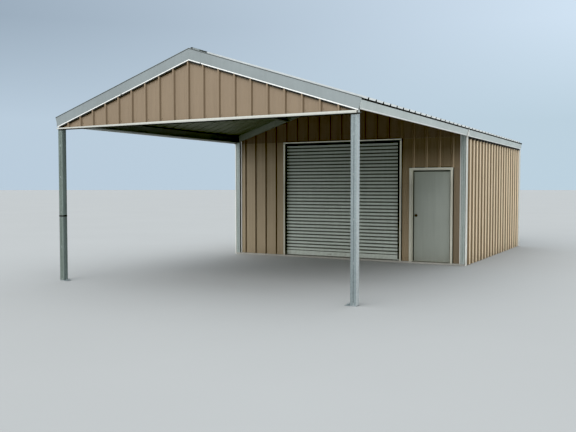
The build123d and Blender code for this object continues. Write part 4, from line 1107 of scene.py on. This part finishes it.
# ------------------------------------------------------------------ roll-up door
CORR = 0.083
pts = []
z = SLAB + 0.050
while z < 3.02:
    pts += [(CURTAIN_Y - 0.0075, z + 0.004, 0.005), (CURTAIN_Y - 0.0075, z + 0.050, 0.005),
            (CURTAIN_Y + 0.0075, z + 0.0575, 0.004), (CURTAIN_Y + 0.0075, z + 0.0755, 0.004)]
    z += CORR
path = rounded(pts, 0.005, 3)
b = Build()
# the valleys take the near-black valley paint: painted shade
b.ribbon(path, offset(path, -0.0008), lambda y, z: (ROLL_X0 - 0.038, y, z), lambda y, z: (ROLL_X1 + 0.038, y, z), (0, 1, 0),
         seg=lambda p, q: 2 if (p[0] + q[0]) / 2 > CURTAIN_Y - 0.0045 else 0)
b.object("rollup_curtain_sheet", [ROLLUP, BACK, ROLLUP_VALLEY], replaces=["rollup_curtain"])
# bottom bar with its seal, and the lift handles
b = Build()
xa, xb = ROLL_X0 - 0.006, ROLL_X1 + 0.006
bar = rounded([(CURTAIN_Y - 0.004, SLAB + 0.118), (CURTAIN_Y - 0.0105, SLAB + 0.112, 0.003), (CURTAIN_Y - 0.0105, SLAB + 0.016, 0.004), (CURTAIN_Y - 0.034, SLAB + 0.016, 0.002), (CURTAIN_Y - 0.034, SLAB + 0.030)], 0.003, 3)
b.ribbon(bar, offset(bar, 0.0022), lambda y, z: (xa, y, z), lambda y, z: (xb, y, z))
seal = rounded([(CURTAIN_Y - 0.002, SLAB + 0.020), (CURTAIN_Y - 0.028, SLAB + 0.020, 0.004), (CURTAIN_Y - 0.030, SLAB + 0.001, 0.006), (CURTAIN_Y + 0.002, SLAB + 0.001, 0.006), (CURTAIN_Y - 0.002, SLAB + 0.020)], 0.004, 3)
b.prism(seal[:-1], lambda y, z: (xa + 0.002, y, z), lambda y, z: (xb - 0.002, y, z), 1)
for hx in (-0.36, 0.26):
    hp = []
    for i in range(13):
        a = math.pi * i / 12
        hp.append((hx + 0.055 * math.cos(a), CURTAIN_Y - 0.0125 - 0.030 * math.sin(a) ** 0.6 if 0 < i < 12 else CURTAIN_Y - 0.0125))
    verts, faces = [], []
    for i, (px, py) in enumerate(hp):
        for j in range(8):
            a = 2 * math.pi * j / 8
            verts.append((px, py + 0.0045 * math.cos(a), SLAB + 0.066 + 0.0045 * math.sin(a)))
    for i in range(12):
        for j in range(8):
            j2 = (j + 1) % 8
            faces.append((i * 8 + j, i * 8 + j2, (i + 1) * 8 + j2, (i + 1) * 8 + j))
    faces += [tuple(range(8))[::-1], tuple(range(96, 104))]
    b.add(verts, faces, 2)
b.object("rollup_bottom_bar", [ROLLUP, RUBBER, METAL])

# trim round the opening, bent edges and a black reveal inside each jamb, painted shade
TRIM_Y0 = WALL_Y - RIB_H - T - 0.003
TRIM_Y1 = STUD_Y1 + 0.004
b = Build()
for side, xe in ((-1, ROLL_X0), (1, ROLL_X1)):
    p = rounded([(xe + side * TRIM_W, TRIM_Y0 + 0.008), (xe + side * TRIM_W, TRIM_Y0, 0.0015), (xe, TRIM_Y0, 0.003), (xe, TRIM_Y0 + 0.012)], 0.002, 3)
    b.ribbon(p, offset(p, 0.0012 * -side), lambda px, py: (px, py, SLAB), lambda px, py: (px, py, ROLL_TOP - 0.0005))
p = rounded([(TRIM_Y0 + 0.008, ROLL_TOP + TRIM_W), (TRIM_Y0, ROLL_TOP + TRIM_W, 0.0015), (TRIM_Y0, ROLL_TOP + 0.019, 0.0015), (TRIM_Y0 + 0.006, ROLL_TOP + 0.015, 0.0015),
             (TRIM_Y0 + 0.006, ROLL_TOP, 0.003), (TRIM_Y1, ROLL_TOP)], 0.002, 3)
b.ribbon(p, offset(p, 0.0012), lambda py, pz: (ROLL_X0 - TRIM_W, py, pz), lambda py, pz: (ROLL_X1 + TRIM_W, py, pz),
         seg=lambda p, q: 2 if (p[1] + q[1]) / 2 < ROLL_TOP + 0.0175 else 0)
for side, xe in ((-1, ROLL_X0), (1, ROLL_X1)):
    p = rounded([(xe + side * 0.012, TRIM_Y0 + 0.0135), (xe + side * 0.0005, TRIM_Y0 + 0.0135, 0.001), (xe + side * 0.0005, TRIM_Y1)], 0.001, 2)
    b.ribbon(p, offset(p, 0.0015 * -side), lambda px, py: (px, py, SLAB), lambda px, py: (px, py, ROLL_TOP - 0.0005), (1, 1, 1))
for z in [0.25 + 0.5 * i for i in range(6)]:
    for side, xe in ((-1, ROLL_X0), (1, ROLL_X1)):
        screw(b, (xe + side * 0.028, TRIM_Y0, z), (0, -1, 0), mats=(0, 1), k=0.85)
for i in range(7):
    screw(b, (ROLL_X0 + 0.15 + i * 0.458, TRIM_Y0, ROLL_TOP + 0.028), (0, -1, 0), mats=(0, 1), k=0.85)
b.object("rollup_trim_bent", [DOOR_FRAME, RUBBER, GROOVE], replaces=["rollup_trim"])
b = Build()
# brush seals behind the jambs and head, the right one widened: partly real seals, partly painted shade
for side, xe in ((-1, ROLL_X0), (1, ROLL_X1)):
    xs = sorted((xe - side * (0.004 if side < 0 else 0.070), xe + side * 0.022))
    b.box(xs[0], xs[1], STUD_Y1 + 0.0055, STUD_Y1 + 0.0095, SLAB + 0.01, ROLL_TOP - 0.002, r=0.0015)
b.box(ROLL_X0 + 0.002, ROLL_X1 - 0.002, STUD_Y1 + 0.0055, STUD_Y1 + 0.0095, ROLL_TOP - 0.045, ROLL_TOP + 0.06, r=0.0015)
b.object("rollup_brush_seals_painted_shade", [RUBBER])

# ------------------------------------------------------------------ walk door
b = Build()
b.box(LEAF_X0, LEAF_X1, LEAF_Y0, LEAF_Y0 + LEAF_T, LEAF_Z0, LEAF_Z1, r=0.0022)
# kick edge channel
b.box(LEAF_X0 + 0.001, LEAF_X1 - 0.001, LEAF_Y0 + 0.004, LEAF_Y0 + LEAF_T - 0.004, LEAF_Z0 - 0.0030, LEAF_Z0 + 0.002, mat=1, r=0.001)
b.object("walk_door_skin", [DOOR, RUBBER], body="walk_door", replaces=["walk_door_leaf"])

KX, KZ = LEAF_X0 + 0.080, 1.104
b = Build()
for yf, d in ((LEAF_Y0, -1), (LEAF_Y0 + LEAF_T, 1)):
    b.lathe([(0.0330, 0.0000), (0.0330, 0.0030), (0.0315, 0.0046), (0.0270, 0.0055), (0.0160, 0.0072), (0.0130, 0.0095), (0.0112, 0.0150), (0.0112, 0.0230),
             (0.0150, 0.0268), (0.0215, 0.0320), (0.0252, 0.0385), (0.0258, 0.0440), (0.0242, 0.0500), (0.0195, 0.0556), (0.0120, 0.0582), (0.0090, 0.0584), (0.0085, 0.0572)],
            lambda x, y, h: (KX + x, yf + d * h, KZ + y), 40, 0)
    b.box(KX - 0.0012, KX + 0.0012, min(yf + d * 0.0565, yf + d * 0.0578), max(yf + d * 0.0565, yf + d * 0.0578), KZ - 0.0045, KZ + 0.0045, mat=1)
b.box(LEAF_X0 - 0.0006, LEAF_X0 + 0.0010, LEAF_Y0 + 0.010, LEAF_Y0 + 0.034, KZ - 0.028, KZ + 0.028, mat=1, r=0.0003)
b.object("walk_door_knobs", [BRONZE, METAL], body="walk_door", replaces=["door_knob_set"])

# weather strip on the stop, aluminium sill
b = Build()
# black strips on the stop, standing in for the shadow in the reveal and under the head: painted shadow
ys = LEAF_Y0 - 0.0045
for xa, xb in ((DOOR_X0 + 0.0005, DOOR_X0 + 0.012), (DOOR_X1 - 0.012, DOOR_X1 - 0.0005)):
    b.box(xa, xb, ys, LEAF_Y0 - 0.0004, SLAB + 0.012, DOOR_TOP - 0.008, r=0.0012)
ys, w = LEAF_Y0 - 0.0070, 0.020
xa, xb, zt = DOOR_X0 + DOOR_STOP + 0.0005, DOOR_X1 - DOOR_STOP - 0.0005, DOOR_TOP - DOOR_STOP - 0.0005
b.box(xa, xa + w, ys, LEAF_Y0 - 0.0005, SLAB + 0.014, zt, r=0.0024)
b.box(xb - w, xb, ys, LEAF_Y0 - 0.0005, SLAB + 0.014, zt, r=0.0024)
b.box(xa + w, xb - w, ys, LEAF_Y0 - 0.0005, zt - w, zt, r=0.0024)
b.object("door_weather_strip_painted_shadow", [RUBBER])
b = Build()
sill = rounded([(FRAME_Y0 + 0.004, SLAB), (FRAME_Y0 + 0.012, SLAB + 0.0055, 0.002), (LEAF_Y0 - 0.012, SLAB + 0.0062, 0.002), (FRAME_Y0 + 0.138, SLAB + 0.0058, 0.002), (FRAME_Y0 + 0.144, SLAB)], 0.002, 2)
b.prism(sill, lambda y, z: (DOOR_X0 + 0.001, y, z), lambda y, z: (DOOR_X1 - 0.001, y, z))
b.object("door_sill", [METAL])

# ------------------------------------------------------------------ finishes of the pieces that keep their CAD shape
KEEP = {
    "walk_door_frame": (DOOR_FRAME, 0.0015), "door_hinges_frame_side": (METAL, 0.0), "door_hinges_leaf_side": (METAL, 0.0),
    "front_post_bases": (GALV, 0.0010), "front_rafters": (GALV_DARK, 0.0012), "shed_front_rafters": (GALV_RAFTER, 0.0012),
    "shed_rear_rafters": (GALV_DARK, 0.0012), "eave_beam_left": (GALV_DARK, 0.0012), "eave_beam_right": (GALV_DARK, 0.0012),
    "roof_purlins": (GALV_DARK, 0.0012), "left_wall_framing": (GALV, 0.0), "right_wall_framing": (GALV, 0.0),
    "rear_wall_framing": (GALV, 0.0), "front_wall_framing": (GALV, 0.0), "rollup_guides": (GALV, 0.0), "rollup_coil": (ROLLUP, 0.0),
    "shed_floor": (CONCRETE, 0.004),
}
for node, (m, bevel) in KEEP.items():
    ob = NODES[node]
    for s in ob.material_slots:
        s.material = m
    if not ob.material_slots:
        ob.data.materials.append(m)
    if bevel:
        w = ob.modifiers.new("weld", "WELD")
        w.merge_threshold = 0.00002
        v = ob.modifiers.new("edges", "BEVEL")
        v.width = bevel
        v.segments = 2
        v.limit_method = "ANGLE"
        v.angle_limit = math.radians(40)
        v.use_clamp_overlap = True

# ------------------------------------------------------------------ floor, light, camera
bm = bmesh.new()
bmesh.ops.create_circle(bm, cap_ends=True, segments=96, radius=420.0)
me = bpy.data.meshes.new("floor")
bm.to_mesh(me)
bm.free()
floor = bpy.data.objects.new("floor", me)
floor.location = (0, 0, -0.0005)
bpy.context.scene.collection.objects.link(floor)
fm = Mat("pale_floor", (0.42, 0.425, 0.425), 0.9, 0.0, 0.1)
fm.shade(fm.noise(0.25, 4), 0.985, 1.015)
me.materials.append(fm.done())

world = bpy.data.worlds.new("soft_sky")
bpy.context.scene.world = world
world.use_nodes = True
nt = world.node_tree
nt.nodes.clear()
out = nt.nodes.new("ShaderNodeOutputWorld")
bg = nt.nodes.new("ShaderNodeBackground")
tc = nt.nodes.new("ShaderNodeTexCoord")
sep = nt.nodes.new("ShaderNodeSeparateXYZ")
nt.links.new(tc.outputs["Generated"], sep.inputs[0])


def ramp(socket, a0, a1, kind="LINEAR"):
    n = nt.nodes.new("ShaderNodeMapRange")
    n.interpolation_type = kind
    n.clamp = True
    for k, v in zip((1, 2, 3, 4), (a0, a1, 0.0, 1.0)):
        n.inputs[k].default_value = v
    nt.links.new(socket, n.inputs[0])
    return n.outputs[0]


def blend(fac, a, b):
    n = nt.nodes.new("ShaderNodeMix")
    n.data_type = "RGBA"
    n.clamp_factor = True
    for k, v in ((6, a), (7, b)):
        if isinstance(v, tuple):
            n.inputs[k].default_value = (*v, 1)
        else:
            nt.links.new(v, n.inputs[k])
    nt.links.new(fac, n.inputs[0])
    return n.outputs[2]


# a dull sky behind the building, lighter before it and overhead
high = blend(ramp(sep.outputs["X"], -0.85, -0.05), (0.305, 0.385, 0.472), (0.67, 0.80, 0.93))
low = blend(ramp(sep.outputs["X"], -0.85, -0.05), (0.50, 0.61, 0.72), (0.515, 0.65, 0.745))
behind = blend(ramp(sep.outputs["Z"], 0.09, 0.22), low, high)
behind = blend(ramp(sep.outputs["X"], 0.10, 0.80), behind, (0.30, 0.32, 0.32))
before = blend(ramp(sep.outputs["Z"], 0.05, 0.12), (0.30, 0.31, 0.31), (1.15, 1.18, 1.20))
low_sky = blend(ramp(sep.outputs["Y"], 0.15, -0.35), behind, before)
low_sky = blend(ramp(sep.outputs["X"], 0.35, 0.90), low_sky, (0.20, 0.21, 0.21))
sky = blend(ramp(sep.outputs["Z"], 0.22, 0.90, "SMOOTHSTEP"), low_sky, (1.36, 1.44, 1.48))
nt.links.new(sky, bg.inputs["Color"])
nt.links.new(bg.outputs[0], out.inputs[0])

sun = bpy.data.lights.new("key", "SUN")
sun.energy = 1.30
sun.angle = math.radians(50)
sun.color = (1.0, 0.985, 0.96)
so = bpy.data.objects.new("key", sun)
so.rotation_euler = Vector((-0.04, -0.82, 0.57)).to_track_quat("Z", "Y").to_euler()
bpy.context.scene.collection.objects.link(so)

cam = bpy.data.cameras.new("camera")
cam.sensor_width = 36.0
cam.lens = 43.749
cam.clip_end = 2000
co = bpy.data.objects.new("camera", cam)
co.location = (7.0517, -15.5379, 1.7600)
co.rotation_euler = (math.radians(90 - 2.367), 0.0, math.radians(28.797))
bpy.context.scene.collection.objects.link(co)
bpy.context.scene.camera = co
vs = bpy.context.scene.view_settings
vs.view_transform = "Standard"
vs.use_curve_mapping = True
vs.curve_mapping.black_level = (0.016, 0.0175, 0.0205)
vs.curve_mapping.update()
